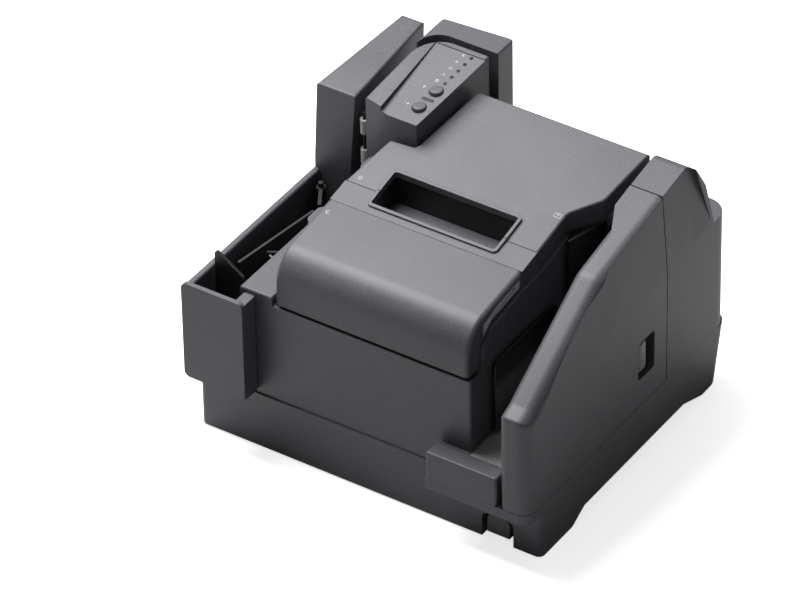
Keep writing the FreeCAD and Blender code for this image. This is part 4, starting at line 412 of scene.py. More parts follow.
@dataclass(frozen=True)
class ScreenInk(Finish):
    """Screen-printed ink: an even film with slightly ragged coverage."""

    thin: str = "#b5b4b6"
    mesh_mm: float = 0.5
    mesh_detail: float = 3.0
    tint_span: tuple[float, float] = (0.25, 0.5)
    depth_mm: float = 0.01

    def dress(self, tree: bpy.types.NodeTree, shader: bpy.types.Node) -> None:
        """Add the mesh of the screen, drawn coarser than the real one so that it shows.

        Args:
            tree: the material's tree.
            shader: its Principled BSDF.
        """
        weave = self.noise(tree, self.place(tree), self.mesh_mm, self.mesh_detail)
        share = self.spread(tree, weave, 0, 1, *self.tint_span)
        tree.links.new(self.tint(tree, share, self.thin, self.colour), shader.inputs["Base Color"])
        tree.links.new(self.relief(tree, weave, self.depth_mm), shader.inputs["Normal"])


CASE_ABS = SparkErodedAbs("abs_spark_eroded_grey", "#55555a", 0.5, edge_mm=0.5)
DARK_ABS = SparkErodedAbs("abs_spark_eroded_black", "#1d1c1e", 0.48, dark="#151516", light="#222123")
INNER_ABS = SparkErodedAbs("abs_inner_dark_grey", "#2c2c2e", 0.55, dark="#262628", light="#323235")
CUTTER_ABS = SparkErodedAbs("abs_cutter_grey", "#55545a", 0.5, dark="#4b4a50", light="#5d5c62", depth_mm=0.02)
BUTTON_ABS = SparkErodedAbs("abs_button_grey", "#5a5a5f", 0.42, dark="#505055", light="#626167",
                            depth_mm=0.015)
# The lever's grey is lighter than the case's to paint the highlight on its rounded face: a painted highlight.
# Its lower roughness is its real satin gloss.
LEVER_ABS_PAINTED_HIGHLIGHT = SparkErodedAbs("abs_lever_grey_painted_highlight", "#74747a", 0.34, dark="#6b6b71", light="#7e7d84",
                           depth_mm=0.01)
FLOOR_ACETAL = Acetal("acetal_light_grey", "#8a8889", 0.42, warm="#83807f", cool="#918f91")
ROLLER_ACETAL = Acetal("acetal_natural_white", "#d4d2cd", 0.38, warm="#cbc8c2", cool="#dad9d6")
STEEL = BrushedMetal("steel_zinc_plated", "#a9abae", 0.32, 1.0)
BLADE_STEEL = BrushedMetal("steel_stainless_blade", "#b6b8ba", 0.25, 1.0, dark="#9c9ea0", light="#c9cbcc")
WIRE_STEEL = BrushedMetal("steel_spring_wire", "#85878a", 0.3, 1.0, dark="#707275", light="#9a9c9f")
BRASS = BrushedMetal("brass_turned", "#b5965a", 0.3, 1.0, dark="#9c7f48", light="#c9ab6e")
ALUMINIUM = BrushedMetal("aluminium_extruded", "#b4b6b8", 0.4, 1.0, dark="#a2a4a7", light="#c2c4c6")
RUBBER = GroundRubber("rubber_ground", "#202022", 0.75)
MASK = SolderMask("board_solder_mask", "#1f5a3a", 0.3)
LENS = SmokedLens("acrylic_smoked", "#16181a", 0.12)
SMOKED_SHEET = SmokedLens("polycarbonate_smoked_brown", "#1b1613", 0.3)
DARK_STEEL = BrushedMetal("steel_black_oxide", "#2c2d2f", 0.42, 1.0, dark="#242527", light="#37383b")
FILM = SilverFilm("polyester_silver_film", "#cbcacd", 0.4)
WHITE_INK = ScreenInk("ink_white_screen_print", "#e2e1e3", 0.5)
DARK_INK = ScreenInk("ink_dark_screen_print", "#2e2d30", 0.5, thin="#3b3a3d")
# A grey ink printed over the power button's engraved symbol. It is lighter than the button to paint the light
# caught by the engraving's edges: a painted highlight.
ENGRAVING_HIGHLIGHT_INK = ScreenInk("ink_grey_painted_engraving_highlight", "#8d8c90", 0.5, thin="#7b7a7e")

SLOT_FINISH = {
    Slot.CASE: CASE_ABS,
    Slot.DARK: DARK_ABS,
    Slot.LIGHT: ROLLER_ACETAL,
    Slot.STEEL: STEEL,
    Slot.BRASS: BRASS,
    Slot.RUBBER: RUBBER,
    Slot.ALUMINIUM: ALUMINIUM,
    Slot.BOARD: MASK,
    Slot.LENS: LENS,
    Slot.FILM: FILM,
}
NODE_FINISH = {
    "feeder_floor": FLOOR_ACETAL,
    "tear_blade": BLADE_STEEL,
    "pocket_spring_wire": WIRE_STEEL,
    "near_button": BUTTON_ABS,
    "far_button": BUTTON_ABS,
    "power_button": CASE_ABS,
    "hopper_plate": SMOKED_SHEET,
    "guide_plate": SMOKED_SHEET,
    "hopper_stems": DARK_ABS,
    "gate_shaft": DARK_ABS,
    "exit_shaft": DARK_STEEL,
    "feed_shaft": DARK_STEEL,
    "cutter_frame": CUTTER_ABS,
    "path_floor": INNER_ABS,
}
REDRAWN = ("head_springs", "rubber_feet", "case_screws", "feed_tyres", "release_lever")


# Surfaces


def at(x: float, y: float, z: float) -> np.ndarray:
    """Give a point in metres from millimetres, with y from the front plane."""
    return np.array([x, y - HALF_DEPTH, z]) * MM


@dataclass
class Surface:
    """Points and faces of one closed shape."""

    points: np.ndarray
    faces: list

    @classmethod
    def from_grid(cls, grid: np.ndarray, wrap_rows: bool = False, wrap_columns: bool = False) -> "Surface":
        """Make a surface of a grid of points.

        Args:
            grid: the points, rows by columns by three.
            wrap_rows: whether the last row joins the first.
            wrap_columns: whether the last column joins the first.

        Returns:
            The surface, with a quad between each four neighbours.
        """
        rows, columns = grid.shape[:2]
        index = np.arange(rows * columns).reshape(rows, columns)
        if wrap_rows:
            index = np.vstack([index, index[:1]])
        if wrap_columns:
            index = np.hstack([index, index[:, :1]])
        quads = np.stack([index[:-1, :-1], index[:-1, 1:], index[1:, 1:], index[1:, :-1]], axis=-1)
        return cls(grid.reshape(-1, 3), quads.reshape(-1, 4).tolist())

    def __add__(self, other: "Surface") -> "Surface":
        """Put two surfaces together."""
        shift = len(self.points)
        moved = [[i + shift for i in face] for face in other.faces]
        return Surface(np.vstack([self.points, other.points]), self.faces + moved)


def sweep(path: np.ndarray, profile: np.ndarray, up: Sequence[float], closed: bool = False) -> Surface:
    """Carry a closed profile along a path.

    Args:
        path: the points of the path, in metres.
        profile: the points of the profile, across and up, in metres.
        up: the way that the profile's second axis points, as near as the path allows.
        closed: whether the path's end joins its start.

    Returns:
        The surface: each point is path + across * side + height * top, where the side is the unit cross
        product of the path's direction and up, and the top that of the side and the direction.
    """
    if closed:
        ahead = np.roll(path, -1, 0) - np.roll(path, 1, 0)
    else:
        ahead = np.gradient(path, axis=0)
    ahead = ahead / np.linalg.norm(ahead, axis=1, keepdims=True)
    side = np.cross(ahead, np.asarray(up, float))
    side = side / np.linalg.norm(side, axis=1, keepdims=True)
    top = np.cross(side, ahead)
    grid = (path[:, None] + profile[None, :, :1] * side[:, None] + profile[None, :, 1:] * top[:, None])
    made = Surface.from_grid(grid, wrap_rows=closed, wrap_columns=True)
    if not closed:
        count = len(profile)
        last = len(path) * count
        made.faces.append(list(range(count))[::-1])
        made.faces.append(list(range(last - count, last)))
    return made


def circle(radius: float, sides: int) -> np.ndarray:
    """Give a ring of points: radius times the cosine and sine of equal steps."""
    turn = np.arange(sides) / sides * 2 * math.pi
    return radius * np.stack([np.cos(turn), np.sin(turn)], axis=1)


def slab(width: float, height: float) -> np.ndarray:
    """Give the section of a flat stroke: width across, standing from 0 to height."""
    half = width / 2
    return np.array([[-half, 0.0], [half, 0.0], [half, height], [-half, height]])


def lathe(profile: np.ndarray, centre: np.ndarray, axis: np.ndarray, sides: int = 48,
          ripple: Callable[[np.ndarray, np.ndarray], np.ndarray] | None = None) -> Surface:
    """Turn a profile about an axis and close it at both poles.

    Args:
        profile: radius and height pairs in metres, from one pole to the other, whose ends have no radius.
        centre: the point on the axis where the height is 0.
        axis: the axis, a unit vector.
        sides: the number of steps round.
        ripple: a share of the radius by the turn and the height, or none.

    Returns:
        The surface: centre + axis * height + radius * (across * cos(turn) + over * sin(turn)).
    """
    rim = profile[1:-1]
    turn = np.arange(sides) / sides * 2 * math.pi
    across = np.cross(axis, [1.0, 0.0, 0.0] if abs(axis[0]) < NEARLY_ALONG else [0.0, 1.0, 0.0])
    across = across / np.linalg.norm(across)
    over = np.cross(axis, across)
    radius = np.repeat(rim[:, :1], sides, 1)
    if ripple:
        radius = radius * ripple(turn[None, :], rim[:, 1:])
    spoke = across * np.cos(turn)[:, None] + over * np.sin(turn)[:, None]
    grid = centre + axis * rim[:, 1][:, None, None] + radius[:, :, None] * spoke[None]
    made = Surface.from_grid(grid, wrap_columns=True)
    count = len(made.points)
    poles = np.array([centre + axis * profile[0, 1], centre + axis * profile[-1, 1]])
    last = count - sides
    made.faces += [[count, (i + 1) % sides, i] for i in range(sides)]
    made.faces += [[count + 1, last + i, last + (i + 1) % sides] for i in range(sides)]
    return Surface(np.vstack([made.points, poles]), made.faces)


def joined(surfaces: Iterable[Surface]) -> Surface:
    """Put several surfaces together as one, in their order."""
    first, *others = surfaces
    return sum(others, first)


def mesh_of(name: str, surface: Surface, sharp_degrees: float) -> bpy.types.Mesh:
    """Make a smooth-shaded mesh whose edges over an angle stay sharp.

    Args:
        name: the mesh's name.
        surface: its points and faces.
        sharp_degrees: the angle between two faces above which their edge is sharp.

    Returns:
        The mesh.
    """
    mesh = bpy.data.meshes.new(name)
    mesh.from_pydata(surface.points.tolist(), [], surface.faces)
    mesh.validate()
    mesh.update()
    mesh.shade_smooth()
    mesh.set_sharp_from_angle(angle=math.radians(sharp_degrees))
    return mesh


def link_object(name: str, data: bpy.types.ID) -> bpy.types.Object:
    """Make an object of a mesh, a lamp or a camera and link it to the scene."""
    made = bpy.data.objects.new(name, data)
    bpy.context.scene.collection.objects.link(made)
    return made


def add_piece(name: str, surface: Surface, finish: Finish, body: Body,
              replaces: Sequence[str] = (), sharp_degrees: float = 35.0) -> None:
    """Put a finished piece on its body.

    Args:
        name: the piece's name.
        surface: its shape, in place, in metres.
        finish: its finish.
        body: the body that it rides on.
        replaces: the nodes that it stands for.
        sharp_degrees: the angle above which an edge stays sharp.
    """
    piece = link_object(name, mesh_of(name, surface, sharp_degrees))
    piece.data.materials.append(finish.material())
    turn_outwards(piece.data)
    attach(piece, body.value)
    if replaces:
        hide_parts(*replaces)
    LOG.info("%s: %d points on %s", name, len(piece.data.vertices), body.value)


def turn_outwards(mesh: bpy.types.Mesh) -> None:
    """Turn a closed mesh right side out, where the sum of its signed volumes is below 0.

    Args:
        mesh: the mesh, whose triangles a, b, c each have the signed volume a . (b x c) / 6.
    """
    mesh.calc_loop_triangles()
    points = np.zeros(len(mesh.vertices) * 3, np.float32)
    mesh.vertices.foreach_get("co", points)
    corners = np.zeros(len(mesh.loop_triangles) * 3, np.int32)
    mesh.loop_triangles.foreach_get("vertices", corners)
    a, b, c = points.reshape(-1, 3)[corners.reshape(-1, 3)].transpose(1, 0, 2)
    if float(np.einsum("ij,ij->i", a, np.cross(b, c)).sum()) < 0:
        mesh.flip_normals()


# Sub-assemblies


@dataclass
class MouldedShells:
    """The moulded parts of the case: welded copies of the nodes, so that their curves shade smoothly."""

    weld_mm: float = 0.002
    sharp_degrees: float = 24.0

    def build(self) -> None:
        """Make a welded copy of every node but the redrawn ones, and dress it for its slot."""
        slots = {row["node"]: row["material_slot"] for row in frame["record"]["subparts"]}
        for name, node in frame["nodes"].items():
            if name in REDRAWN:
                continue
            slot = Slot(slots[name])
            finish = NODE_FINISH.get(name, SLOT_FINISH[slot])
            body = node["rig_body"]
            piece = link_object(f"{name}_shell", self.welded(name, node.data))
            piece.data.materials.append(finish.material())
            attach(piece, body)
            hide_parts(name)
            LOG.info("%s: %d points, %s", name, len(piece.data.vertices), finish.name)

    def welded(self, name: str, source: bpy.types.Mesh) -> bpy.types.Mesh:
        """Join the loose triangles of a node's mesh.

        Args:
            name: the new mesh's name.
            source: the node's mesh, which stays as it is.

        Returns:
            A mesh with one point wherever the triangles' corners meet within weld_mm.
        """
        points = np.zeros(len(source.vertices) * 3, np.float32)
        source.vertices.foreach_get("co", points)
        points = points.reshape(-1, 3).astype(float)
        source.calc_loop_triangles()
        corners = np.zeros(len(source.loop_triangles) * 3, np.int32)
        source.loop_triangles.foreach_get("vertices", corners)
        cells = np.round(points / (self.weld_mm * MM)).astype(np.int64)
        _, first, index = np.unique(cells, axis=0, return_index=True, return_inverse=True)
        faces = index.reshape(-1)[corners].reshape(-1, 3)
        whole = (faces[:, 0] != faces[:, 1]) & (faces[:, 1] != faces[:, 2]) & (faces[:, 0] != faces[:, 2])
        surface = Surface(points[first], faces[whole].tolist())
        return mesh_of(f"{name}_mesh", surface, self.sharp_degrees)


Line = tuple[np.ndarray, bool]


def open_line(*points: tuple[float, float]) -> Line:
    """Give an open line through points in millimetres."""
    return np.array(points), False


def closed_line(*points: tuple[float, float]) -> Line:
    """Give a line through points in millimetres whose end joins its start."""
    return np.array(points), True


def arc(radius: float, start: float, end: float, steps: int) -> Line:
    """Give an arc: radius times the cosine and sine of even steps from start to end, in degrees."""
    turn = np.radians(np.linspace(start, end, steps))
    return radius * np.stack([np.cos(turn), np.sin(turn)], axis=1), False


@dataclass(frozen=True)
class SlopedFace:
    """A face that rises evenly to the rear: the y and z of its front edge, and its rise per millimetre."""

    front: tuple[float, float]
    slope: float

    @classmethod
    def through(cls, front: tuple[float, float], rear: tuple[float, float]) -> "SlopedFace":
        """Give the face through two points in y and z."""
        return cls(front, (rear[1] - front[1]) / (rear[0] - front[0]))

    def height(self, y: float) -> float:
        """Give the face's z at y: the front's z plus the way from the front times the slope."""
        return self.front[1] + (y - self.front[0]) * self.slope


@dataclass
class Marks:
    """Generic printed marks: line icons beside lamps, keys and levers, with no lettering."""

    cover_stroke_mm: float = 0.38
    fine_stroke_mm: float = 0.3
    button_stroke_mm: float = 0.55
    film_mm: float = 0.04
    sharp_degrees: float = 20.0
    button_middle: tuple[float, float, float] = (86.35, 14.9, 11.6)
    power_radius: float = 2.4
    power_turn: tuple[float, float] = (125.0, 415.0)
    power_steps: int = 28
    panel: SlopedFace = SlopedFace((127.4, 170.0), 0.2205)
    first_lamp: tuple[float, float] = (-41.6, 161.4)
    lamp_step: tuple[float, float] = (0.8, 5.7)
    lamp_gap: float = 5.4
    lamp_ring_radius: float = 0.85
    ring_steps: int = 20
    near_key: tuple[float, float] = (-53.4, 139.8)
    far_key: tuple[float, float] = (-51.2, 154.3)
    top_cover: SlopedFace = SlopedFace((88.0, 148.0), 0.2222)
    fold_place: tuple[float, float] = (62.0, 116.0)
    lift_place: tuple[float, float] = (-54.6, 93.6)
    roll_cover: SlopedFace = SlopedFace.through((16.8, 138.0), (71.5, 145.3))
    ring_place: tuple[float, float] = (-56.0, 62.1)
    ring_radius: float = 1.1
    ring_turn: tuple[float, float] = (60.0, 330.0)
    label_middle: tuple[float, float, float] = (66.8, 51.0, 135.6)
    roll_middle: tuple[float, float] = (-8.0, -3.6)
    roll_radius: float = 2.6
    roll_steps: int = 28
    core_radius: float = 0.9
    core_steps: int = 16

    def build(self) -> None:
        """Print the marks of the button, the panel, the covers and the label."""
        self.power_symbol()
        self.panel_icons()
        self.cover_icons()
        self.label_drawing()

    def sheet(self, name: str, origin: Sequence[float], across: Sequence[float], over: Sequence[float],
              lines: Sequence[Line], stroke_mm: float, finish: Finish, body: Body) -> None:
        """Print a set of lines on a flat face.

        Args:
            name: the piece's name.
            origin: the drawing's middle, in millimetres from the front plane.
            across: the way of its first axis.
            over: the way of its second axis.
            lines: the lines in those two axes, each carried by a flat stroke whose lower half is in the face.
            stroke_mm: the width of the lines.
            finish: the ink.
            body: the body that carries the face.
        """
        first = np.asarray(across, float) / np.linalg.norm(across)
        second = np.asarray(over, float) / np.linalg.norm(over)
        normal = np.cross(first, second)
        profile = slab(stroke_mm * MM, self.film_mm * 2 * MM)
        middle = at(*origin) - normal * self.film_mm * MM
        paths = [middle + (points[:, :1] * first + points[:, 1:] * second) * MM for points, _ in lines]
        strokes = [sweep(path, profile, normal, closed) for path, (_, closed) in zip(paths, lines)]
        add_piece(name, joined(strokes), finish, body, sharp_degrees=self.sharp_degrees)

    def icon(self, name: str, face: SlopedFace, place: tuple[float, float], lines: Sequence[Line],
             stroke_mm: float, body: Body) -> None:
        """Print a white icon on a sloped face.

        Args:
            name: the piece's name.
            face: the face.
            place: the icon's middle in x and y.
            lines: its lines.
            stroke_mm: their width.
            body: the body that carries the face.
        """
        x, y = place
        self.sheet(name, (x, y, face.height(y)), (1, 0, 0), (0, 1, face.slope), lines, stroke_mm, WHITE_INK,
                   body)

    def power_symbol(self) -> None:
        """Print the ring with a gap and the bar on the power button, in a grey ink that paints the lit edges
        of its engraved symbol: a painted highlight.
        """
        ring = arc(self.power_radius, *self.power_turn, self.power_steps)
        bar = open_line((0.0, 0.5), (0.0, 1.6), (0.0, 2.9))
        self.sheet("power_symbol", self.button_middle, (1, 0, 0), (0, 0, 1), (ring, bar),
                   self.button_stroke_mm, ENGRAVING_HIGHLIGHT_INK, Body.POWER_BUTTON)

    def panel_icons(self) -> None:
        """Print a small icon beside each lamp and each key of the operation panel."""
        ring = (circle(self.lamp_ring_radius, self.ring_steps), True)
        triangle = closed_line((-0.9, -0.7), (0.9, -0.7), (0.0, 0.9))
        box = closed_line((-0.9, -0.7), (0.9, -0.7), (0.9, 0.7), (-0.9, 0.7))
        low_bar = open_line((-0.9, -0.5), (0.0, -0.5), (0.9, -0.5))
        high_bar = open_line((-0.9, 0.5), (0.0, 0.5), (0.9, 0.5))
        rising = open_line((-0.8, -0.8), (0.0, 0.0), (0.8, 0.8))
        falling = open_line((-0.8, 0.8), (0.0, 0.0), (0.8, -0.8))
        lamps = ((ring,), (triangle,), (box,), (low_bar, high_bar), (rising, falling))
        for number, lines in enumerate(lamps):
            x = self.first_lamp[0] + self.lamp_step[0] * number - self.lamp_gap
            y = self.first_lamp[1] + self.lamp_step[1] * number
            self.icon(f"lamp_icon_{number + 1}", self.panel, (x, y), lines, self.fine_stroke_mm, Body.BASE)
        feed = (open_line((-1.2, 0.0), (0.0, 0.0), (1.2, 0.0)),
                open_line((0.5, 0.7), (1.2, 0.0), (0.5, -0.7)))
        release = (open_line((0.0, -1.0), (0.0, 0.0), (0.0, 1.0)),
                   open_line((-0.7, 0.4), (0.0, 1.1), (0.7, 0.4)))
        self.icon("near_key_icon", self.panel, self.near_key, feed, self.fine_stroke_mm, Body.BASE)
        self.icon("far_key_icon", self.panel, self.far_key, release, self.fine_stroke_mm, Body.BASE)

    def cover_icons(self) -> None:
        """Print the two icons of the top cover and the one of the roll cover."""
        fold = (closed_line((-2.2, -1.4), (2.2, -1.4), (2.2, 1.4), (-2.2, 1.4)),
                open_line((-1.0, 0.0), (0.0, 0.7), (1.0, 0.0)))
        lift = (open_line((-1.3, -0.8), (0.0, 0.8), (1.3, -0.8)),
                open_line((-1.3, -1.5), (0.0, -1.5), (1.3, -1.5)))
        ring = (arc(self.ring_radius, *self.ring_turn, self.ring_steps),)
        self.icon("top_cover_icon_right", self.top_cover, self.fold_place, fold, self.cover_stroke_mm,
                  Body.TOP_COVER)
        self.icon("top_cover_icon_left", self.top_cover, self.lift_place, lift, self.cover_stroke_mm,
                  Body.TOP_COVER)
        self.icon("roll_cover_icon", self.roll_cover, self.ring_place, ring, self.cover_stroke_mm,
                  Body.ROLL_COVER)

    def label_drawing(self) -> None:
        """Print how the roll goes in on the side label: a roll, a paper path and an arrow."""
        middle = np.array(self.roll_middle)
        roll = (circle(self.roll_radius, self.roll_steps) + middle, True)
        core = (circle(self.core_radius, self.core_steps) + middle, True)
        paper = open_line((-6.2, -1.7), (-1.0, 0.2), (5.0, 2.0), (13.0, 3.6))
        arrow = open_line((10.8, 4.6), (13.0, 3.6), (11.2, 1.9))
        edge = open_line((1.0, -2.2), (6.0, -1.0), (12.6, 0.3))
        self.sheet("label_drawing", self.label_middle, (0, 1, 0), (0, 0, 1), (roll, core, paper, arrow, edge),
                   self.fine_stroke_mm, DARK_INK, Body.ROLL_COVER)


@dataclass
class SmallHardware:
    """Wound springs, ringed feet, cross-recess screws and ribbed tyres, in place of their plain solids."""

    spring_x: tuple[float, float] = (-18.0, 24.0)
    spring_y: tuple[float, float] = (74.86, 77.74)
    spring_z: float = 107.6
    coil_radius: float = 2.24
    coil_turns: float = 3.5
    coil_steps: int = 170
    wire_radius: float = 0.35
    wire_sides: int = 10
    foot_x: float = 95.0
    foot_y: tuple[float, float] = (32.0, 196.0)
    foot_radius: float = 7.0
    foot_height: float = 1.2
    foot_hollow: float = 0.45
    ring_radii: tuple[float, float, float] = (3.2, 3.6, 6.5)
    ring_bevel: float = 0.4
    screw_x: float = 103.0
    screw_y: tuple[float, float] = (76.0, 152.0)
    head_radius: float = 3.0
    head_face: float = 6.24
    head_crown: tuple[tuple[float, float], ...] = ((2.2, 6.32), (2.8, 6.75), (3.0, 7.3))
    head_top: float = 8.0
    shank_radius: float = 1.4
    shank_foot: float = 8.01
    shank_top: float = 10.6
    recess_floor: float = 6.95
    recess_radii: tuple[float, float] = (0.8, 1.15)
    recess_swell: float = 0.34
    recess_arms: int = 4
    turned_sides: int = 48
    tyre_spans: tuple[tuple[float, float], ...] = ((60.0, 76.75), (79.25, 96.0))
    tyre_axis: tuple[float, float] = (83.5, 148.0)
    tyre_bore: float = 1.8
    tyre_shoulder: float = 4.1
    tyre_radius: float = 4.5
    tyre_bevel: float = 0.5
    tyre_ribs: int = 28
    rib_depth_share: float = 0.03
    steps_per_rib: int = 6

    def build(self) -> None:
        """Make each group and let it replace its node."""
        self.springs()
        self.feet()
        self.screws()
        self.tyres()

    def springs(self) -> None:
        """Wind the two pressure springs: x = r cos t, z = r sin t, y rising evenly with t."""
        turn = np.linspace(0, self.coil_turns * 2 * math.pi, self.coil_steps)
        rise = np.linspace(*self.spring_y, self.coil_steps) - HALF_DEPTH
        across, over = self.coil_radius * np.cos(turn), self.coil_radius * np.sin(turn)
        section = circle(self.wire_radius * MM, self.wire_sides)
        coils = [sweep(np.stack([x + across, rise, self.spring_z + over], axis=1) * MM, section, (0, 1, 0))
                 for x in self.spring_x]
        add_piece("wound_springs", joined(coils), WIRE_STEEL, Body.BASE, ("head_springs",))

    def feet(self) -> None:
        """Turn the four feet: a raised ring round a hollow middle."""
        hollow, inner, outer = self.ring_radii
        profile = np.array([
            [0.0, self.foot_hollow], [hollow, self.foot_hollow], [inner, 0.0], [outer, 0.0],
            [self.foot_radius, self.ring_bevel], [self.foot_radius, self.foot_height],
            [0.0, self.foot_height]]) * MM
        self.turned("ringed_feet", profile, self.foot_x, self.foot_y, RUBBER, "rubber_feet")

    def screws(self) -> None:
        """Turn the four screws: a crowned head whose recess swells once for each arm of its cross."""
        inner, outer = self.recess_radii
        profile = np.array([
            [0.0, self.recess_floor], [inner, self.recess_floor], [outer, self.head_face], *self.head_crown,
            [self.head_radius, self.head_top], [self.shank_radius, self.shank_foot],
            [self.shank_radius, self.shank_top], [0.0, self.shank_top]]) * MM

        def recess(turn: np.ndarray, height: np.ndarray) -> np.ndarray:
            """Give 1 + swell * cos(arms * turn) inside the recess and 1 elsewhere."""
            inside = np.isclose(height, self.recess_floor * MM) | np.isclose(height, self.head_face * MM)
            return np.where(inside, 1 + self.recess_swell * np.cos(self.recess_arms * turn), 1.0)

        self.turned("cross_recess_screws", profile, self.screw_x, self.screw_y, STEEL,
                    "case_screws", recess)

    def turned(self, name: str, profile: np.ndarray, side: float, places: Sequence[float], finish: Finish,
               node: str, ripple: Callable | None = None) -> None:
        """Turn one profile about an upright axis at each place on both sides, and join the copies.

        Args:
            name: the piece's name.
            profile: the profile, as lathe takes it.
            side: how far left and right of the middle the axes stand.
            places: the axes' places from the front plane.
            finish: the finish.
            node: the node that the piece stands for.
            ripple: the profile's ripple, as lathe takes it.
        """
        copies = [lathe(profile, at(x, y, 0), UP, self.turned_sides, ripple)
                  for x in (-side, side) for y in places]
        add_piece(name, joined(copies), finish, Body.BASE, (node,))

    def tyres(self) -> None:
        """Mould the two tyres: a ring section carried round t, its outer r times 1 - d (1 + cos(ribs t))."""
        steps = self.tyre_ribs * self.steps_per_rib
        turn = np.arange(steps) / steps * 2 * math.pi
        tread = 1 - self.rib_depth_share * (1 + np.cos(self.tyre_ribs * turn))
        x, y = self.tyre_axis
        tyres = []
        for low, high in self.tyre_spans:
            section = np.array([
                [self.tyre_bore, low], [self.tyre_shoulder, low], [self.tyre_radius, low + self.tyre_bevel],
                [self.tyre_radius, high - self.tyre_bevel], [self.tyre_shoulder, high],
                [self.tyre_bore, high]])
            radius = section[:, :1] * np.where(section[:, :1] > self.tyre_bore, tread[None, :], 1.0)
            grid = np.stack([x + radius * np.cos(turn), y - HALF_DEPTH + radius * np.sin(turn),
                             np.repeat(section[:, 1:], steps, 1)], axis=-1) * MM
            tyres.append(Surface.from_grid(grid, wrap_rows=True, wrap_columns=True))
        add_piece("ribbed_tyres", joined(tyres), RUBBER, Body.FEED_ROLLER, ("feed_tyres",))


@dataclass
class ThumbLever:
    """The crowned thumb piece in the recess of the side cover, with its upright pin."""

    pin: tuple[float, float] = (108.8, 118.5)
    pin_radius: float = 1.4
    pin_span: tuple[float, float] = (55.8, 86.2)
    pin_sides: int = 32
    span: tuple[float, float] = (60.5, 81.5)
    front: float = 117.1
    rear: float = 129.1
    foot: float = 108.0
    crown: float = 6.0
    back: float = 0.6
    side_power: float = 0.6
    crown_power: float = 0.7
    end_power: int = 8
    end_share: float = 0.985
    rows: int = 36
    columns: int = 48

    def build(self) -> None:
        """Make the pad and the pin as one piece that replaces the plain lever."""
        low, high = self.pin_span
        rim = np.array([[0.0, low], [self.pin_radius, low], [self.pin_radius, high], [0.0, high]]) * MM
        pin = lathe(rim, at(*self.pin, 0), UP, self.pin_sides)
        # The lever's lighter grey finish is a painted highlight.
        add_piece("crowned_thumb_lever", self.pad() + pin, LEVER_ABS_PAINTED_HIGHLIGHT, Body.RELEASE_LEVER,
                  ("release_lever",))

    def pad(self) -> Surface:
        """Shape the pad on a grid of height u and turn t.

        Returns:
            The closed pad, where s = (1 - |u| ** end_power) ** (1 / end_power) rounds its ends. Its y is the
            middle plus half the depth times s times |cos t| ** side_power, with the sign of cos t. Its x is
            foot + crown * s * sin t ** crown_power on the outside and foot + back * sin t behind.
        """
        u = np.linspace(-self.end_share, self.end_share, self.rows)[:, None]
        t = (np.arange(self.columns) / self.columns * 2 * math.pi)[None, :]
        shrink = (1 - np.abs(u) ** self.end_power) ** (1 / self.end_power)
        half = (self.rear - self.front) / 2
        flat = np.sign(np.cos(t)) * np.abs(np.cos(t)) ** self.side_power
        y = (self.rear + self.front) / 2 + half * shrink * flat
        outside = self.crown * shrink * np.clip(np.sin(t), 0, 1) ** self.crown_power
        x = self.foot + np.where(np.sin(t) > 0, outside, self.back * np.sin(t))
        z = (self.span[0] + self.span[1]) / 2 + u * (self.span[1] - self.span[0]) / 2 + 0 * t
        made = Surface.from_grid(np.stack([x, y - HALF_DEPTH, z], axis=-1) * MM, wrap_columns=True)
        last = (self.rows - 1) * self.columns
        made.faces += [list(range(self.columns))[::-1], list(range(last, last + self.columns))]
        return made


@dataclass(frozen=True)
class Softbox:
    """A rectangular soft lamp: its middle, the point that it faces and its size in metres, and its power."""

    name: str
    place: tuple[float, float, float]
    aim: tuple[float, float, float]
    size: tuple[float, float]
    watts: float


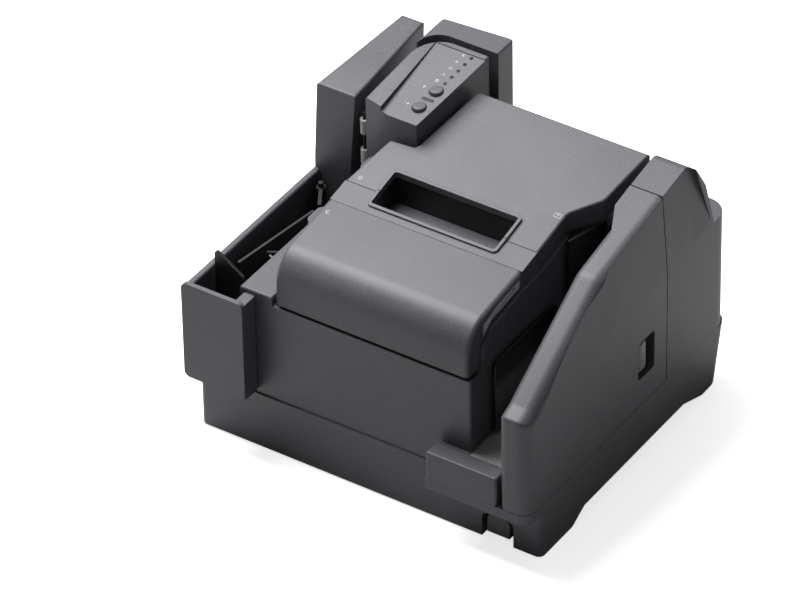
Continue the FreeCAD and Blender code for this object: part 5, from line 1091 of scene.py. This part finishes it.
@dataclass
class Studio:
    """A pale floor, soft light from above and behind, and the camera."""

    azimuth: float = 33.844
    elevation: float = 37.583
    roll: float = -1.09
    distance: float = 3674.6
    target: tuple[float, float, float] = (-21.135, -28.14, 83.85)
    focal_pixels: float = 6500.0
    clip: tuple[float, float] = (0.1, 50.0)
    floor_size: float = 3.0
    floor_steps: int = 24
    floor_sharp_degrees: float = 30.0
    floor_bounce: str = "#505052"
    floor_lift: float = 0.72
    sky_share: float = 0.15
    softboxes: tuple[Softbox, ...] = (
        Softbox("key_softbox", (-0.2, 0.6, 0.9), (0.0, 0.0, 0.08), (0.8, 0.5), 2.0),
        Softbox("top_softbox", (-0.5, 0.04, 1.1), (-0.03, 0.0, 0.1), (0.6, 0.85), 22.0),
    )

    def build(self) -> None:
        """Set up the floor, the lamps, the world and the camera."""
        self.floor()
        for box in self.softboxes:
            self.lamp(box)
        self.world()
        self.camera()

    def floor(self) -> None:
        """Lay the floor: a square grid at z = 0, lifted to white for the camera.

        Mirrored light sees it white too, and the light that it scatters on the object is a duller grey.
        """
        line = np.linspace(-self.floor_size, self.floor_size, self.floor_steps)
        x, y = np.meshgrid(line, line)
        surface = Surface.from_grid(np.stack([x, y, np.zeros_like(x)], axis=-1)[:, ::-1])
        piece = link_object("studio_floor", mesh_of("studio_floor", surface, self.floor_sharp_degrees))
        made = bpy.data.materials.new("paper_sweep_white")
        made.use_nodes = True
        tree = made.node_tree
        tree.nodes.clear()
        path = add_node(tree, "ShaderNodeLightPath").outputs
        seen = add_node(tree, "ShaderNodeMath", {0: path["Is Camera Ray"], 1: path["Is Glossy Ray"]},
                        operation="MAXIMUM").outputs[0]
        colour = add_node(tree, "ShaderNodeMix", {0: seen, 6: linear(self.floor_bounce), 7: WHITE},
                          data_type="RGBA").outputs[2]
        shader = add_node(tree, "ShaderNodeBsdfDiffuse", {"Color": colour})
        lift = add_node(tree, "ShaderNodeMath", {0: path["Is Camera Ray"], 1: self.floor_lift},
                        operation="MULTIPLY").outputs[0]
        glow = add_node(tree, "ShaderNodeEmission", {"Color": WHITE, "Strength": lift})
        both = add_node(tree, "ShaderNodeAddShader", {0: shader.outputs[0], 1: glow.outputs[0]})
        add_node(tree, "ShaderNodeOutputMaterial", {"Surface": both.outputs[0]})
        piece.data.materials.append(made)

    def lamp(self, box: Softbox) -> None:
        """Hang a soft lamp, turned to what it lights.

        Args:
            box: the lamp.
        """
        data = bpy.data.lights.new(box.name, "AREA")
        data.shape = "RECTANGLE"
        data.size, data.size_y = box.size
        data.energy = box.watts
        lamp = link_object(box.name, data)
        lamp.location = box.place
        lamp.rotation_mode = "QUATERNION"
        lamp.rotation_quaternion = Vector(np.subtract(box.aim, box.place)).to_track_quat("-Z", "Y")

    def world(self) -> None:
        """Give a white sky to the camera, and a dim one to every other ray."""
        made = bpy.data.worlds.new("studio_world")
        bpy.context.scene.world = made
        made.use_nodes = True
        tree = made.node_tree
        tree.nodes.clear()
        path = add_node(tree, "ShaderNodeLightPath")
        strength = add_node(tree, "ShaderNodeMapRange", {
            "Value": path.outputs["Is Camera Ray"], "To Min": self.sky_share,
            "To Max": 1.0}).outputs["Result"]
        sky = add_node(tree, "ShaderNodeBackground", {"Color": WHITE, "Strength": strength})
        add_node(tree, "ShaderNodeOutputWorld", {"Surface": sky.outputs[0]})

    def camera(self) -> None:
        """Set the camera at the viewing angle, turned about its own axis by roll.

        The way back is (sin a cos e, -cos a cos e, sin e); the lens is focal pixels * sensor / image width.
        """
        a, e, r = (math.radians(v) for v in (self.azimuth, self.elevation, self.roll))
        back = np.array([math.sin(a) * math.cos(e), -math.cos(a) * math.cos(e), math.sin(e)])
        right = np.array([math.cos(a), math.sin(a), 0.0])
        up = np.cross(back, right)
        across = right * math.cos(r) + up * math.sin(r)
        over = up * math.cos(r) - right * math.sin(r)
        data = bpy.data.cameras.new("camera")
        data.sensor_width = SENSOR_MM
        data.lens = self.focal_pixels * SENSOR_MM / IMAGE_WIDTH
        data.clip_start, data.clip_end = self.clip
        camera = link_object("camera", data)
        place = (np.array(self.target) + back * self.distance) * MM
        matrix = np.identity(4)
        matrix[:3, 0], matrix[:3, 1], matrix[:3, 2], matrix[:3, 3] = across, over, back, place
        camera.matrix_world = Matrix(matrix.tolist())
        bpy.context.scene.camera = camera


def main() -> None:
    """Build the sub-assemblies in order and the studio round them."""
    logging.basicConfig(level=logging.INFO, format="%(name)s %(message)s")
    bpy.context.scene.view_settings.view_transform = "Standard"
    for assembly in (MouldedShells(), SmallHardware(), ThumbLever(), Marks(), Studio()):
        LOG.info("building %s", type(assembly).__name__)
        assembly.build()


if __name__ == "__main__":
    main()
